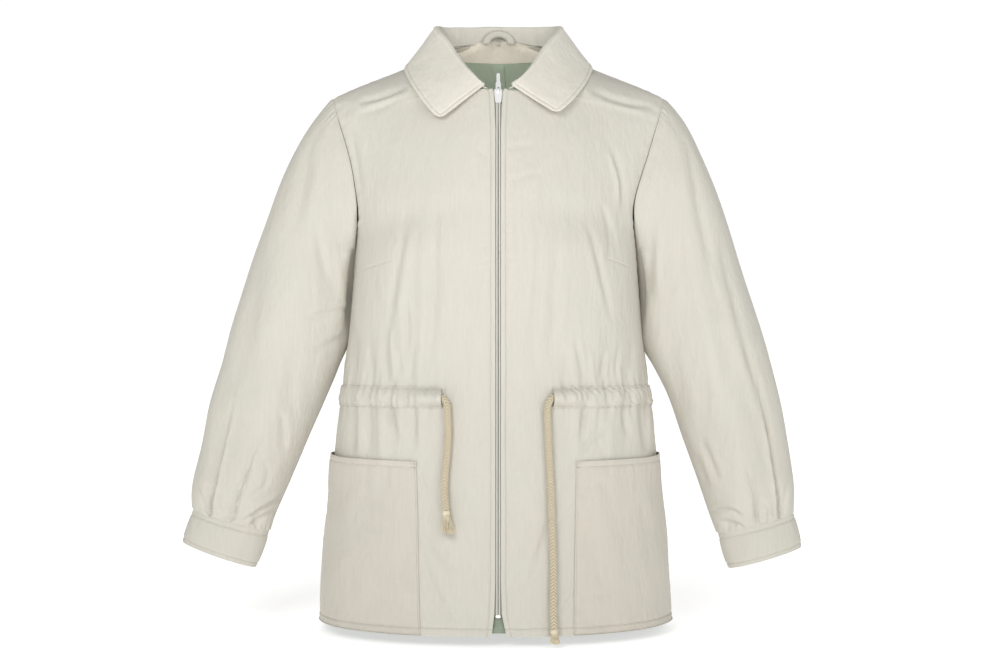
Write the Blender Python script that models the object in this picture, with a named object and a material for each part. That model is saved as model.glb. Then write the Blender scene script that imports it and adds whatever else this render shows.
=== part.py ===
"""A women's anorak in stone poplin, zipped up and filled out as if worn.

The origin is the centre of the neck base. +Z is up, the zip faces -Y, and +X is on the viewer's right
when the front is looked at. Tables and lengths are in millimetres; the meshes are made in metres.
"""

import math
from collections import namedtuple

import bmesh
import bpy
import numpy as np
from mathutils import Vector
from mathutils.bvhtree import BVHTree

MM = 0.001

# Cloth and seams
SHELL = 1.6  # wall of the body and sleeves
BAND = 2.2  # wall of the cuffs, which are doubled cloth
LEAF = 2.0  # wall of the collar, which is doubled cloth
LINING = 1.2
PATCH = 1.5  # wall of a pocket
SEAM_PULL = 0.2  # each piece stops this far short of its seam line

# Heights on the body
HEM = -710.0
STOP = -684.0  # lower end of the zip
ARMPIT = -232.0
NECK_FRONT = -52.0

# Body sections, from the hem up to the armpit
Section = namedtuple("Section", "z half_width front back")
SECTIONS = (
    Section(HEM, 223.0, 146.0, 138.0),
    Section(-663.0, 221.2, 143.0, 134.0),
    Section(-580.0, 214.4, 135.0, 126.0),
    Section(-503.0, 206.0, 128.0, 118.0),
    Section(-465.0, 201.8, 123.0, 113.0),
    Section(-425.0, 195.5, 119.0, 108.0),
    Section(-386.0, 192.5, 118.0, 106.0),
    Section(-360.0, 188.5, 119.0, 106.0),
    Section(-303.0, 183.5, 123.0, 108.0),
    Section(-250.0, 180.0, 126.0, 110.0),
    Section(ARMPIT, 179.0, 126.5, 111.0),
)
ROUNDNESS = 0.60  # handle length of a section, as a share of its half width; a circle has 0.552
BODY_MIDDLE = (0, 0, -300)
LEAN = -3.7  # the left side stands this much further out below the chest, and the right that much less
LEAN_FROM, LEAN_TO = -190.0, -120.0  # heights between which the lean fades out
SKIRT_ROWS = 13
COLUMNS = 10  # mesh columns from the centre to a side

# Rows of the fronts above the armpit, each a cubic from the centre edge or neckline to the armhole.
# A pull is the cubic's handle, measured from its end. The last row is the shoulder seam.
Row = namedtuple("Row", "inner inner_pull outer_pull outer")
FRONT_ROWS = (
    Row((3.3, -127, -205), (60, 0, 0), (-4, -44, 0), (174.5, -31, -216)),
    Row((3.3, -126, -172), (60, 0, 0), (-24, -38, 3), (173.5, -45, -188)),
    Row((3.3, -121, -135), (62, 0, 0), (-40, -32, 3), (181, -45, -150)),
    Row((3.3, -113, -98), (62, 2, 0), (-48, -27, 4), (191.5, -39, -112)),
    Row((5.5, -98, NECK_FRONT), (56, 7, -2), (-52, -24, 8), (202, -30, -79)),
    Row((18, -92, -48), (50, 3, -4), (-51, -22, 9), (205.5, -24.5, -67.5)),
    Row((50, -67, -29), (40, -3, -6), (-50, -20, 10), (208, -19, -58)),
    Row((67, -33, -4), (38, -5, -16), (-48, -12, 18), (210.6, -9.5, -49.5)),
    Row((72, 0, 17), (40, 0, -28), (-50, 0, 26), (211.5, 0, -46.5)),
)
FRONT_NECK_ROW = 5  # counted from the armpit section; the neckline starts here
FRONT_STEPS, FRONT_NECK_STEPS = 7, 6

BACK_ROWS = (
    Row((0, 113, -195), (60, 0, 0), (-2, 42, 0), (176, 33, -215)),
    Row((0, 114, -155), (62, 0, 0), (-16, 36, 3), (177, 50, -187)),
    Row((0, 112, -112), (62, 0, 0), (-34, 31, 3), (184.5, 51, -150)),
    Row((0, 107, -70), (60, 0, 0), (-42, 26, 4), (193, 44, -112)),
    Row((0, 95, -22), (58, 0, 0), (-48, 20, 8), (202, 33, -80)),
    Row((0, 65, 33), (42, 4, -3), (-50, 16, 12), (208, 21, -58)),
    Row((45, 50, 28.5), (38, 6, -16), (-48, 10, 18), (210.6, 10, -49.5)),
    Row((72, 0, 17), (40, 0, -28), (-50, 0, 26), (211.5, 0, -46.5)),
)
BACK_NECK_ROW = 6
BACK_STEPS, BACK_NECK_STEPS = 8, 4

# Zip
EDGE = 3.3  # half the slot between the fronts
SLIT_LEFT, SLIT_RIGHT = 7.8, 10.2  # half widths of the slit under the zip, at the hem
TAPE_WIDTH, TAPE = 14.0, 1.0
CHAIN_WIDTH = 2.9
SLIT_START = 1.3  # how much the edge has turned away at the stop
STOP_HALF, STOP_FRONT, STOP_BACK = 3.4, 0.9, 2.6  # half width, and depth before and behind the front
STOP_DOWN, STOP_UP, STOP_ROUND = 4.0, 0.6, 0.5
CHAIN_GAP, CHAIN_SETBACK = 0.25, 0.2
TAPE_SETBACK = 2.5  # from the fronts' outer face back to the tape

# Sleeve sections: the outer and the inner point in the front view, then depth
Ring = namedtuple("Ring", "outer_x outer_z inner_x inner_z y half_depth")
SLEEVE_LEFT = (
    Ring(-318, -268, -189.5, -300, 2, 58),
    Ring(-337.5, -328, -192, -356, 0, 60),
    Ring(-354, -389, -220.5, -427.5, -4, 58),
    Ring(-370, -447, -244.5, -485.5, -9, 55),
    Ring(-379.8, -498, -265.1, -533.7, -15, 51),
    Ring(-386.4, -539.2, -280.4, -571.9, -20, 44),
    Ring(-387.0, -570.3, -290.3, -598.5, -22, 30),
)
SLEEVE_RIGHT = (
    Ring(312, -268, 182.5, -298, 2, 58),
    Ring(331, -328, 184.5, -354, 0, 60),
    Ring(347.5, -385, 215, -423, -4, 58),
    Ring(360, -439.5, 233.5, -478, -9, 55),
    Ring(368, -492, 250.7, -528.2, -15, 51),
    Ring(373.5, -540.2, 267, -573.4, -20, 44),
    Ring(374.2, -574.7, 277.7, -601.5, -22, 30),
)
CUFF_END_LEFT = Ring(-399, -610, -306.7, -642.3, -26, 28)
CUFF_END_RIGHT = Ring(382.5, -616.3, 290.8, -643.4, -26, 28)
CAP_STEPS = 6  # mesh rings from the armhole to the first section
CAP_RISE, CAP_LANDING = 0.305, 0.36  # handle lengths of the cap, as shares of its span

# Soft folds and cuff pleats in a sleeve: angle round it from the outer edge over the front, how far that
# angle turns by the lower end, depth, half width in degrees, and the stretch in sections
Fold = namedtuple("Fold", "angle turn depth spread start end")
SLEEVE_FOLDS = (
    Fold(40, 12, -3.5, 17, 0.5, 4.6),
    Fold(78, -14, -4.0, 19, 1.0, 5.0),
    Fold(118, 10, -3.0, 17, 0.2, 3.6),
    Fold(228, 10, -3.5, 18, 0.6, 4.4),
    Fold(285, -12, -4.0, 20, 1.2, 5.2),
    Fold(60, 0, -6.5, 11, 4.7, 6.6),
    Fold(90, 0, -5.5, 11, 4.9, 6.6),
    Fold(135, 0, -4.5, 11, 5.1, 6.6),
    Fold(240, 0, -5.0, 11, 4.9, 6.6),
    Fold(285, 0, -5.5, 11, 4.8, 6.6),
)

# Collar stations from the centre front to the centre back: the top of the roll, the leaf's edge and the
# radius of the roll. The shoulder seam is at station 4.
Station = namedtuple("Station", "roll edge radius")
COLLAR = (
    Station((18, -97.5, -42), (72, -106, -83), 2.8),
    Station((31, -86, -28), (86, -94, -69), 3.3),
    Station((45, -67, -10), (99, -76, -52), 4.0),
    Station((62, -37, 19), (113, -42, -29), 4.5),
    Station((80, 4, 45.5), (118, 2, -6), 4.5),
    Station((63, 44, 52.5), (92, 66, 0), 4.5),
    Station((0, 62, 56), (0, 93, -4), 4.5),
)
COLLAR_SHOULDER = 4
COLLAR_START = 1  # the collar's front edge meets the neckline at this step of the front
COLLAR_CENTRE = (0.0, -15.0)  # the neck's middle, which the roll faces away from
COLLAR_ROLL_ROW = 4  # the top of the roll, counted across the strip from the seam
TIP_DROP = 3.3  # the left tip hangs this much lower, and the right that much higher
COLLAR_RISE, COLLAR_INSET = 0.9, 1.7  # the stand starts this far above and inside the neckline
LEAF_CLEARANCE = 1.2
ROLL_REACH, ROLL_DROP = 0.72, 0.3  # the points beside the roll's top, in radii
LEAF_SHARES = (0.2, 0.42, 0.62, 0.82, 1.0)  # the leaf's points from the roll to its edge

# Waist casing
CASING_TOP, CASING_BOTTOM = -413.0, -438.0
CASING_END_LEFT, CASING_END_RIGHT = -67.0, 65.0
CASING_WALL = 1.2
CASING_GAP = 0.35
CASING_COLUMNS = 112
GATHERS = 28
GATHER_DEPTH = 0.55
CASING_SWELL = 3.4  # how far the cord inside lifts the middle of the casing
MOUTH_SWELL, MOUTH_REACH = 7.8, 34.0

# Pockets
POCKET_TOP = -502.0
POCKET_LEFT_TOP, POCKET_LEFT_HEM = 99.0, 93.0
POCKET_RIGHT_TOP, POCKET_RIGHT_HEM = 94.0, 90.5
POCKET_GAP = 0.6
POCKET_FULLNESS = 1.2
MOUTH_GAPE = 2.0

# Drawstring: the middle of each free end, from inside the casing down to the whipping
CORD_DIAMETER = 9.0
CordPoint = namedtuple("CordPoint", "x z clearance")
CORD_LEFT = (
    CordPoint(-77.0, -424.5, 0.6),
    CordPoint(-71.0, -424.6, 0.7),
    CordPoint(-65.5, -427.0, 1.2),
    CordPoint(-61.6, -434.5, 2.2),
    CordPoint(-61.0, -445.6, 2.6),
    CordPoint(-60.2, -464.0, 2.2),
    CordPoint(-60.6, -483.0, 1.8),
    CordPoint(-62.4, -503.0, 1.8),
    CordPoint(-64.0, -522.0, 2.0),
    CordPoint(-64.2, -540.0, 2.4),
    CordPoint(-62.5, -560.0, 3.2),
)
CORD_RIGHT = (
    CordPoint(76.0, -424.5, 0.6),
    CordPoint(70.0, -424.6, 0.7),
    CordPoint(64.0, -427.0, 1.2),
    CordPoint(60.2, -434.5, 2.2),
    CordPoint(59.5, -445.6, 2.6),
    CordPoint(60.4, -468.0, 2.2),
    CordPoint(61.8, -500.0, 1.8),
    CordPoint(63.6, -540.0, 1.8),
    CordPoint(65.0, -583.0, 1.8),
    CordPoint(66.2, -625.0, 1.8),
    CordPoint(66.0, -655.0, 1.8),
    CordPoint(66.0, -680.0, 2.2),
    CordPoint(66.8, -700.0, 2.8),
)
WHIPPING_LENGTH, WHIPPING_DIAMETER, WHIPPING_ROUND = 5.5, 9.8, 0.7
TUFT_LEFT, TUFT_RIGHT = 21.0, 12.5
STRAND_RINGS = ((1, 0.0), (5, 2.0), (9, 3.7))  # strands in each ring, and its radius
STRAND = 1.3
TUFT_SPLAY_LEFT, TUFT_SPLAY_RIGHT = 0.30, 0.42

# Hanger loop, an arch of flat tape sewn into the neck seam
LOOP_OUTER_WIDTH, LOOP_INNER_WIDTH = 44.0, 22.0
LOOP_OUTER_RISE, LOOP_INNER_RISE = 17.2, 8.0
LOOP_FOOT_Z, LOOP_Y, LOOP_TAPE = 32.4, 52.8, 1.6
LOOP_LEAN = 3.0  # the top stands this far forward of the feet

# Lining and facing inside the back neck
FACING_EDGE_Z = 11.0
FACING_SPREAD, FACING_DROP = 1.08, 3.0  # widening of its lower edge; its top's distance below the seam
BACK_LINING_TOP, BACK_LINING_BOTTOM = 9.5, -70.0
BACK_LINING_TOP_HALF, BACK_LINING_HALF, BACK_LINING_SLOPE = 62.0, 92.0, 1.1
FACING_CLEARANCE, LINING_CLEARANCE = 0.9, 0.9
PLEAT_X, PLEAT_DEPTH, PLEAT_WIDTH = 9.0, 1.6, 7.0

# Zip guard, seen in the slit
GUARD_HALF_LEFT, GUARD_HALF_RIGHT = 20.0, 22.0
GUARD_TOP, GUARD_BOTTOM = -640.0, -706.5
GUARD_SETBACK, GUARD_BEND = 4.6, 1.2  # behind the front at the middle, and more at its sides

# Slider and pull tab
SLIDER_TOP, SLIDER_BOTTOM = -50.0, -67.0  # heights on the front
SLIDER_PROBE = 4.0  # the front's lean is read from this far under the slider's top
SLIDER_LENGTH, SLIDER_SHOULDER = 17.5, 6.5
SLIDER_TOP_HALF, SLIDER_BOTTOM_HALF = 4.8, 3.5
PLATE = 1.5
PLATE_CLEARANCE = 0.4
POST_HALF, POST_HEIGHT = 2.0, 3.2
CROWN_HALF, CROWN_REACH, CROWN_BAR = 0.9, 2.9, 1.0
CROWN_HOLE_TOP, CROWN_HOLE_BOTTOM = -1.0, -3.3  # from the slider's top, as are the next two
PULL_AXIS_Z, PULL_AXIS_REACH = -2.0, 0.95
PULL_BAR = 0.6
PULL_LENGTH, PULL_WIDE, PULL_NARROW, PULL_THICK = 24.0, 6.4, 4.4, 1.2
WINDOW_HALF, WINDOW_LENGTH = 1.25, 4.2
PULL_REST_LEAN = 4.0  # degrees back from the slider's plate
PULL_NECK_START, PULL_NECK_END, PULL_TIP, PULL_TIP_CUT = 9.5, 12.0, 1.5, 1.0
REAR_CLEARANCE, REAR_FOOT = 0.6, 1.0  # of the back plate: behind the tape, and above the front plate's foot
ROOT = 0.4  # how deep the crown is set into the plate
POST_INSET = 0.25  # the post ends this far inside both plates
CROWN_CORNER = 0.5


# ---------------------------------------------------------------------------------------------------
# Curves and tables


def smooth(stations, values, at):
    """The rows of values at their stations, joined by smooth cubics and read at other stations."""
    t = np.asarray(stations, float)
    p = np.asarray(values, float).reshape(len(t), -1)
    s = np.atleast_1d(np.asarray(at, float))
    slope = np.gradient(p, t, axis=0)
    k = np.clip(np.searchsorted(t, s, side="right") - 1, 0, len(t) - 2)
    h = (t[k + 1] - t[k])[:, None]
    w = (s - t[k])[:, None] / h
    return (
        (2 * w**3 - 3 * w**2 + 1) * p[k]
        + (w**3 - 2 * w**2 + w) * h * slope[k]
        + (3 * w**2 - 2 * w**3) * p[k + 1]
        + (w**3 - w**2) * h * slope[k + 1]
    )


def cubic(start, start_pull, end_pull, end, t):
    """Points of a cubic whose handles are measured from its own ends."""
    a, d = np.asarray(start, float), np.asarray(end, float)
    b, c = a + np.asarray(start_pull, float), d + np.asarray(end_pull, float)
    t = np.asarray(t, float)[:, None]
    return (1 - t) ** 3 * a + 3 * (1 - t) ** 2 * t * b + 3 * (1 - t) * t**2 * c + t**3 * d


def ease(low, high, value):
    """0 at low, 1 at high, with level ends."""
    w = np.clip((np.asarray(value, float) - low) / (high - low), 0, 1)
    return w * w * (3 - 2 * w)


def unit(vectors):
    length = np.linalg.norm(vectors, axis=-1, keepdims=True)
    return vectors / np.maximum(length, 1e-9)


# ---------------------------------------------------------------------------------------------------
# The body's surface


def leaned(points):
    """The points with the body's slight lean to the left, which leaves the zip where it is."""
    points = np.array(points, float)
    share = np.clip(np.abs(points[..., 0]) / 180.0, 0, 1)
    points[..., 0] += LEAN * share * (1 - ease(LEAN_FROM, LEAN_TO, points[..., 2]))
    return points


def skirt_rows(heights, t, front):
    """Half sections of the body below the armpit, on the +X side."""
    z_table = [s.z for s in SECTIONS]
    sizes = smooth(z_table, [(s.half_width, s.front, s.back) for s in SECTIONS], heights)
    rows = []
    for z, (half, depth_front, depth_back) in zip(heights, sizes):
        depth = -depth_front if front else depth_back
        inner = (EDGE if front else 0.0, depth, z)
        pulls = (ROUNDNESS * half, 0, 0), (0, ROUNDNESS * depth, 0)
        rows.append(cubic(inner, *pulls, (half, 0, z), t))
    return np.array(rows)


def chest_rows(table, neck, stations, t, front):
    """Half sections above the armpit, read from the table of rows; station 0 is the armpit."""
    armpit = skirt_rows([ARMPIT], t, front)[0]
    controls = np.array([armpit] + [cubic(*row, t) for row in table])
    at = np.arange(len(controls))
    flat = smooth(at, controls.reshape(len(controls), -1), stations)
    rows = flat.reshape(len(stations), len(t), 3)
    for row, station in zip(rows, stations):
        if station < neck:  # the centre edge stays straight up to the neckline
            middle = np.interp(station, at, controls[:, 0, 0])
            row[:, 0] += (middle - row[0, 0]) * (1 - t) ** 2
    return rows


def body_half(front):
    """Grid of half a front or half the back, rows from the hem up and columns from the centre out."""
    t = np.linspace(0, 1, COLUMNS + 1)
    heights = np.concatenate([[HEM], np.linspace(STOP, ARMPIT, SKIRT_ROWS)])
    if front:
        table, neck, steps, neck_steps = FRONT_ROWS, FRONT_NECK_ROW, FRONT_STEPS, FRONT_NECK_STEPS
    else:
        table, neck, steps, neck_steps = BACK_ROWS, BACK_NECK_ROW, BACK_STEPS, BACK_NECK_STEPS
    up = np.linspace(0, neck, steps + 1)
    round_neck = np.linspace(neck, len(table), neck_steps + 1)
    stations = np.concatenate([up, round_neck[1:]])
    lower = skirt_rows(heights, t, front)
    upper = chest_rows(table, neck, stations, t, front)
    return np.concatenate([lower, upper[1:]])


def side_of(grid, side):
    """The half grid on the left (-1) or the right (+1), with the lean."""
    grid = np.array(grid)
    grid[..., 0] *= side
    return leaned(grid)


def open_slit(grid, side):
    """The front's edge turned away from the middle under the zip."""
    reach = SLIT_LEFT if side < 0 else SLIT_RIGHT
    grid[0, 0, 0] = side * reach
    grid[1, 0, 0] = side * (EDGE + SLIT_START)
    return grid


def cell(grid, row, column):
    """The point at a place between a grid's points."""
    r = min(int(row), grid.shape[0] - 2)
    c = min(int(column), grid.shape[1] - 2)
    u, v = row - r, column - c
    low = grid[r, c] * (1 - v) + grid[r, c + 1] * v
    high = grid[r + 1, c] * (1 - v) + grid[r + 1, c + 1] * v
    return low * (1 - u) + high * u


# ---------------------------------------------------------------------------------------------------
# Sleeves and cuffs


def ring_points(ring, angles, swell=0.0):
    """An oval round the arm: angle 0 is the outer point, 90 degrees the front."""
    outer = np.array([ring.outer_x, ring.y, ring.outer_z], float)
    inner = np.array([ring.inner_x, ring.y, ring.inner_z], float)
    centre, across = (outer + inner) / 2, (outer - inner) / 2
    half = np.linalg.norm(across)
    across = across / half * (half + swell)
    forward = np.array([0.0, -(ring.half_depth + swell), 0.0])
    return centre + np.cos(angles)[:, None] * across + np.sin(angles)[:, None] * forward


def fold_depth(station, angle):
    """How far the folds move the sleeve's surface at a section station and an angle in degrees."""
    total = 0.0
    for fold in SLEEVE_FOLDS:
        if not fold.start < station:
            continue
        along = (station - fold.start) / (fold.end - fold.start)
        if along >= 1.05:
            continue
        away = (angle - fold.angle - fold.turn * along + 180) % 360 - 180
        total += fold.depth * math.sin(math.pi * min(along, 1)) ** 0.7 * math.exp(-((away / fold.spread) ** 2))
    return total


def sleeve_grid(armhole, rings):
    """Rings of the sleeve from the armhole to the cuff."""
    count = len(armhole)
    angles = 2 * math.pi * np.arange(count) / count
    first = ring_points(rings[0], angles)
    second = ring_points(rings[1], angles)
    side = np.sign(rings[0].outer_x)
    middle = armhole.mean(axis=0)
    under = ease(100, 175, np.degrees(np.minimum(angles, 2 * math.pi - angles)))[:, None]
    radial = unit((armhole - middle) * np.array([0, 1, 1]))
    over = np.array([side, 0, -1.3]) + 0.35 * radial
    down = np.array([0.18 * side, 0, -1.0])
    leave = unit((1 - under) * unit(over) + under * down)
    span = np.linalg.norm(first - armhole, axis=1, keepdims=True)
    start_pull = leave * span * CAP_RISE
    end_pull = -unit(second - first) * span * CAP_LANDING
    t = np.linspace(0, 1, CAP_STEPS + 1)
    cap = np.array([cubic(*ends, t) for ends in zip(armhole, start_pull, end_pull, first)])
    grid = list(np.transpose(cap, (1, 0, 2)))
    table = np.array([ring_points(ring, angles) for ring in rings])
    stations = np.concatenate([np.arange(0.5, 5.1, 0.5), [5.5, 6.0]])
    lower = smooth(np.arange(len(rings)), table.reshape(len(rings), -1), stations)
    for station, flat in zip(stations, lower):
        ring = flat.reshape(count, 3)
        out = unit(ring - ring.mean(axis=0))
        depth = [fold_depth(station, math.degrees(a)) for a in angles]
        if station < stations[-1]:
            ring = ring + out * np.array(depth)[:, None]
        grid.append(ring)
    return np.array(grid)


def cuff_grid(top, end):
    angles = 2 * math.pi * np.arange(len(top)) / len(top)
    bottom = ring_points(end, angles)
    out = unit(top - top.mean(axis=0))
    belly = (top + bottom) / 2 + out * 0.8
    return np.array([top, belly, bottom])


# ---------------------------------------------------------------------------------------------------
# Closed walls from grids


def grid_faces(shape, around=False):
    rows, columns = shape
    faces = []
    for r in range(rows - 1):
        for c in range(columns if around else columns - 1):
            d = (c + 1) % columns
            a, b = r * columns, (r + 1) * columns
            faces.append((a + c, a + d, b + d, b + c))
    return faces


def joined(*grids):
    """Points and faces of grids that share the points where they meet."""
    index, points, faces = {}, [], []
    for grid in grids:
        flat = grid.reshape(-1, 3)
        own = []
        for point in flat:
            place = tuple(np.round(point, 4))
            if place not in index:
                index[place] = len(points)
                points.append(point)
            own.append(index[place])
        faces += [tuple(own[i] for i in face) for face in grid_faces(grid.shape[:2])]
    return np.array(points), faces


def face_normals(points, faces):
    corners = points[np.array(faces)]
    return np.cross(corners[:, 2] - corners[:, 0], corners[:, 3] - corners[:, 1])


def spread_normals(points, faces):
    """Each point's normal, and the direction from it into its own piece."""
    normals, inward = np.zeros_like(points), np.zeros_like(points)
    for face, normal in zip(faces, face_normals(points, faces)):
        centre = points[list(face)].mean(axis=0)
        for i in face:
            normals[i] += normal
            inward[i] += centre - points[i]
    return normals, inward


def turned_out(points, faces, inside):
    """The faces, turned so that their normals point away from the place inside."""
    normals = face_normals(points, faces)
    away = points[np.array(faces)].mean(axis=1) - np.asarray(inside, float)
    if (normals * away).sum() < 0:
        return [face[::-1] for face in faces]
    return faces


class Panel:
    """One piece of the garment before it has thickness; its faces point out."""

    def __init__(self, name, points, faces, material, thickness=SHELL):
        self.name, self.points, self.faces = name, points, faces
        self.material, self.thickness = material, thickness
        self.own, self.inward = spread_normals(points, faces)


def sew(panels):
    """Solid walls for panels that meet at seams, each stopping just short of the seam line."""
    shared, owners = {}, {}
    for panel in panels:
        for point, normal in zip(panel.points, panel.own):
            place = tuple(np.round(point, 3))
            shared[place] = shared.get(place, 0) + unit(normal)
            owners.setdefault(place, set()).add(panel.name)
    for panel in panels:
        points, normals = panel.points.copy(), unit(panel.own)
        for i, point in enumerate(panel.points):
            place = tuple(np.round(point, 3))
            if len(owners[place]) < 2:
                continue
            common = unit(shared[place])
            if np.dot(panel.inward[i], common) <= 0:
                normals[i] = common
            across = panel.inward[i] - np.dot(panel.inward[i], normals[i]) * normals[i]
            points[i] += SEAM_PULL * unit(across)
        wall(panel.name, points, panel.faces, normals, panel.thickness, panel.material)


def wall(name, points, faces, normals, thickness, material):
    """A closed wall: outer faces, the same moved in, and a rim along every free edge."""
    count = len(points)
    solid = np.concatenate([points, points - np.reshape(thickness, (-1, 1)) * normals])
    edges = {(face[i], face[(i + 1) % len(face)]) for face in faces for i in range(len(face))}
    sides = list(faces) + [tuple(i + count for i in face[::-1]) for face in faces]
    sides += [(b, a, a + count, b + count) for a, b in edges if (b, a) not in edges]
    return mesh_object(name, solid, sides, material)


def mesh_object(name, points, faces, material, smooth_angle=40):
    mesh = bpy.data.meshes.new(name)
    mesh.from_pydata([tuple(p * MM) for p in np.asarray(points, float)], [], faces)
    shape = bmesh.new()
    shape.from_mesh(mesh)
    bmesh.ops.remove_doubles(shape, verts=shape.verts, dist=1e-6)
    bmesh.ops.recalc_face_normals(shape, faces=shape.faces)
    shape.to_mesh(mesh)
    shape.free()
    mesh.shade_smooth()
    mesh.set_sharp_from_angle(angle=math.radians(smooth_angle))
    mesh.materials.append(material)
    obj = bpy.data.objects.new(name, mesh)
    bpy.context.scene.collection.objects.link(obj)
    return obj


def loft(name, sections, material):
    """A solid through closed outlines with the same number of points, with flat ends."""
    sections = np.asarray(sections, float)
    rows, count = sections.shape[:2]
    faces = grid_faces((rows, count), around=True)
    faces.append(tuple(range(count)))
    faces.append(tuple((rows - 1) * count + i for i in reversed(range(count))))
    return mesh_object(name, sections.reshape(-1, 3), faces, material)


def material(name, colour, roughness, metallic=0.0):
    made = bpy.data.materials.new(name)
    made.use_nodes = True
    shader = made.node_tree.nodes["Principled BSDF"]
    shader.inputs["Base Color"].default_value = (*colour, 1.0)
    shader.inputs["Roughness"].default_value = roughness
    shader.inputs["Metallic"].default_value = metallic
    return made


# ---------------------------------------------------------------------------------------------------
# Pieces that lie on or in the body


def front_depth(x, z, grids):
    """The front's outer y at a place on the front, from its grid."""
    grid = grids[-1] if x < 0 else grids[1]
    rows = SKIRT_ROWS + FRONT_STEPS + 1
    at = np.array([(np.interp(abs(x), np.abs(row[:, 0]), row[:, 1]), row[0, 2]) for row in grid[:rows]])
    return float(np.interp(z, at[:, 1], at[:, 0]))


def smooth_section(z, side, front, t):
    """A half section of the body at one height, finer than the panels' own columns."""
    return side_of(skirt_rows([z], t, front)[0], side)


def casing_route(z):
    """A fine line round the body at one height, from the casing's left end round the back to its right."""
    t = np.linspace(0, 1, 161)
    left_front = smooth_section(z, -1, True, t)
    right_front = smooth_section(z, 1, True, t)
    back_left = smooth_section(z, -1, False, t)
    back_right = smooth_section(z, 1, False, t)
    loop = np.concatenate([left_front, back_left[::-1][1:], back_right[1:], right_front[::-1][1:]])
    keep = (loop[:, 1] > -20) | (loop[:, 0] < CASING_END_LEFT) | (loop[:, 0] > CASING_END_RIGHT)
    line = loop[keep]
    along = np.concatenate([[0], np.cumsum(np.linalg.norm(np.diff(line, axis=0), axis=1))])
    stations = np.linspace(0, along[-1], CASING_COLUMNS + 1)
    return np.stack([np.interp(stations, along, line[:, i]) for i in range(3)], axis=1), stations


def casing(cloth):
    """The gathered strip round the waist, sewn down at both edges and open at its two front ends."""
    rows = []
    heights = np.linspace(CASING_TOP, CASING_BOTTOM, 4)
    for z in heights:
        line, stations = casing_route(z)
        tangent = np.gradient(line, axis=0)
        out = unit(np.stack([tangent[:, 1], -tangent[:, 0], np.zeros(len(line))], axis=1))
        if (out * line * np.array([1, 1, 0])).sum() < 0:
            out = -out
        middle = math.sin(math.pi * (z - CASING_TOP) / (CASING_BOTTOM - CASING_TOP)) ** 0.75
        from_end = np.minimum(stations, stations[-1] - stations)
        swell = CASING_SWELL + MOUTH_SWELL * np.exp(-((from_end / MOUTH_REACH) ** 2))
        lift = CASING_GAP + CASING_WALL + middle * swell
        phase = GATHERS * 2 * math.pi * stations / stations[-1]
        settle = ease(0, 30, from_end)
        lift = lift + GATHER_DEPTH * settle * (1 + np.sin(phase + 0.8 * np.sin(phase * 0.31)))
        rows.append((line + out * lift[:, None], out))
    outer = np.array([row[0] for row in rows])
    normals = np.array([row[1] for row in rows])
    points = outer.reshape(-1, 3)
    faces = turned_out(points, grid_faces(outer.shape[:2]), (0, 0, CASING_TOP))
    return wall("waist_casing", points, faces, normals.reshape(-1, 3), CASING_WALL, cloth)


def pocket(name, grid, top_x, hem_x, cloth):
    """A patch on the front's own points, moved out, from its inner edge to the side seam."""
    mouth = float(np.interp(POCKET_TOP, grid[:, 0, 2], np.arange(len(grid))))
    rows = [0.04] + list(range(1, int(mouth) + 1)) + [mouth]
    first, points = None, []
    for row in rows:
        line = np.array([cell(grid, row, c) for c in range(grid.shape[1])])
        inner_x = np.interp(row, [0, mouth], [hem_x, top_x])
        start = float(np.interp(inner_x, np.abs(line[:, 0]), np.arange(len(line))))
        first = int(math.ceil(start + 0.25)) if first is None else first
        columns = [start] + list(range(first, grid.shape[1] - 1)) + [grid.shape[1] - 1.03]
        points.append([cell(grid, row, c) for c in columns])
    points = np.array(points)
    shape = points.shape[:2]
    flat = points.reshape(-1, 3)
    faces = turned_out(flat, grid_faces(shape), (0, 0, POCKET_TOP))
    normals = unit(spread_normals(flat, faces)[0])
    across = np.linspace(0, 1, shape[1])
    up = np.linspace(0, 1, shape[0])
    middle = np.outer(np.sin(math.pi * up * 0.55), np.sin(math.pi * across)) * POCKET_FULLNESS
    gape = np.outer(ease(0.55, 1.0, up), np.sin(math.pi * across**1.5)) * MOUTH_GAPE
    lift = (POCKET_GAP + PATCH + middle + gape).reshape(-1, 1)
    return wall(name, flat + normals * lift, faces, normals, PATCH, cloth)


def inside_tree(name):
    """A search tree of a finished wall."""
    obj = bpy.data.objects[name]
    corners = [Vector(v.co) / MM for v in obj.data.vertices]
    return BVHTree.FromPolygons(corners, [tuple(p.vertices) for p in obj.data.polygons])


def inside_back(tree, x, z):
    """The point of the back's inner face straight behind a place in the middle of the body."""
    hit = tree.ray_cast(Vector((x, -5.0, z)), Vector((0, 1, 0)))
    return np.array(hit[0])


def lining_wall(name, grid, cloth, clearance):
    """A thin wall that lies just inside the points of a grid on the back's inner face."""
    flat = grid.reshape(-1, 3)
    faces = turned_out(flat, grid_faces(grid.shape[:2]), (0, 0, -20))
    normals = unit(spread_normals(flat, faces)[0])
    return wall(name, flat - normals * clearance, faces, normals, LINING, cloth)


def back_neck_facing(neckline, cloth):
    """Shell cloth from the neck seam down to a level edge inside the back."""
    tree = inside_tree("back")
    at = np.arange(len(neckline))
    top = smooth(at, neckline, np.linspace(0.8, len(neckline) - 1.8, 15))
    edge = np.array([inside_back(tree, x * FACING_SPREAD, FACING_EDGE_Z) for x in top[:, 0]])
    rows = []
    for share in (0.0, 0.35, 0.7, 1.0):
        line = top * (1 - share) + edge * share
        rows.append([inside_back(tree, x, min(z, t[2] - FACING_DROP)) for (x, _, z), t in zip(line, top)])
    lining_wall("back_neck_facing", np.array(rows), cloth, FACING_CLEARANCE)


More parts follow.
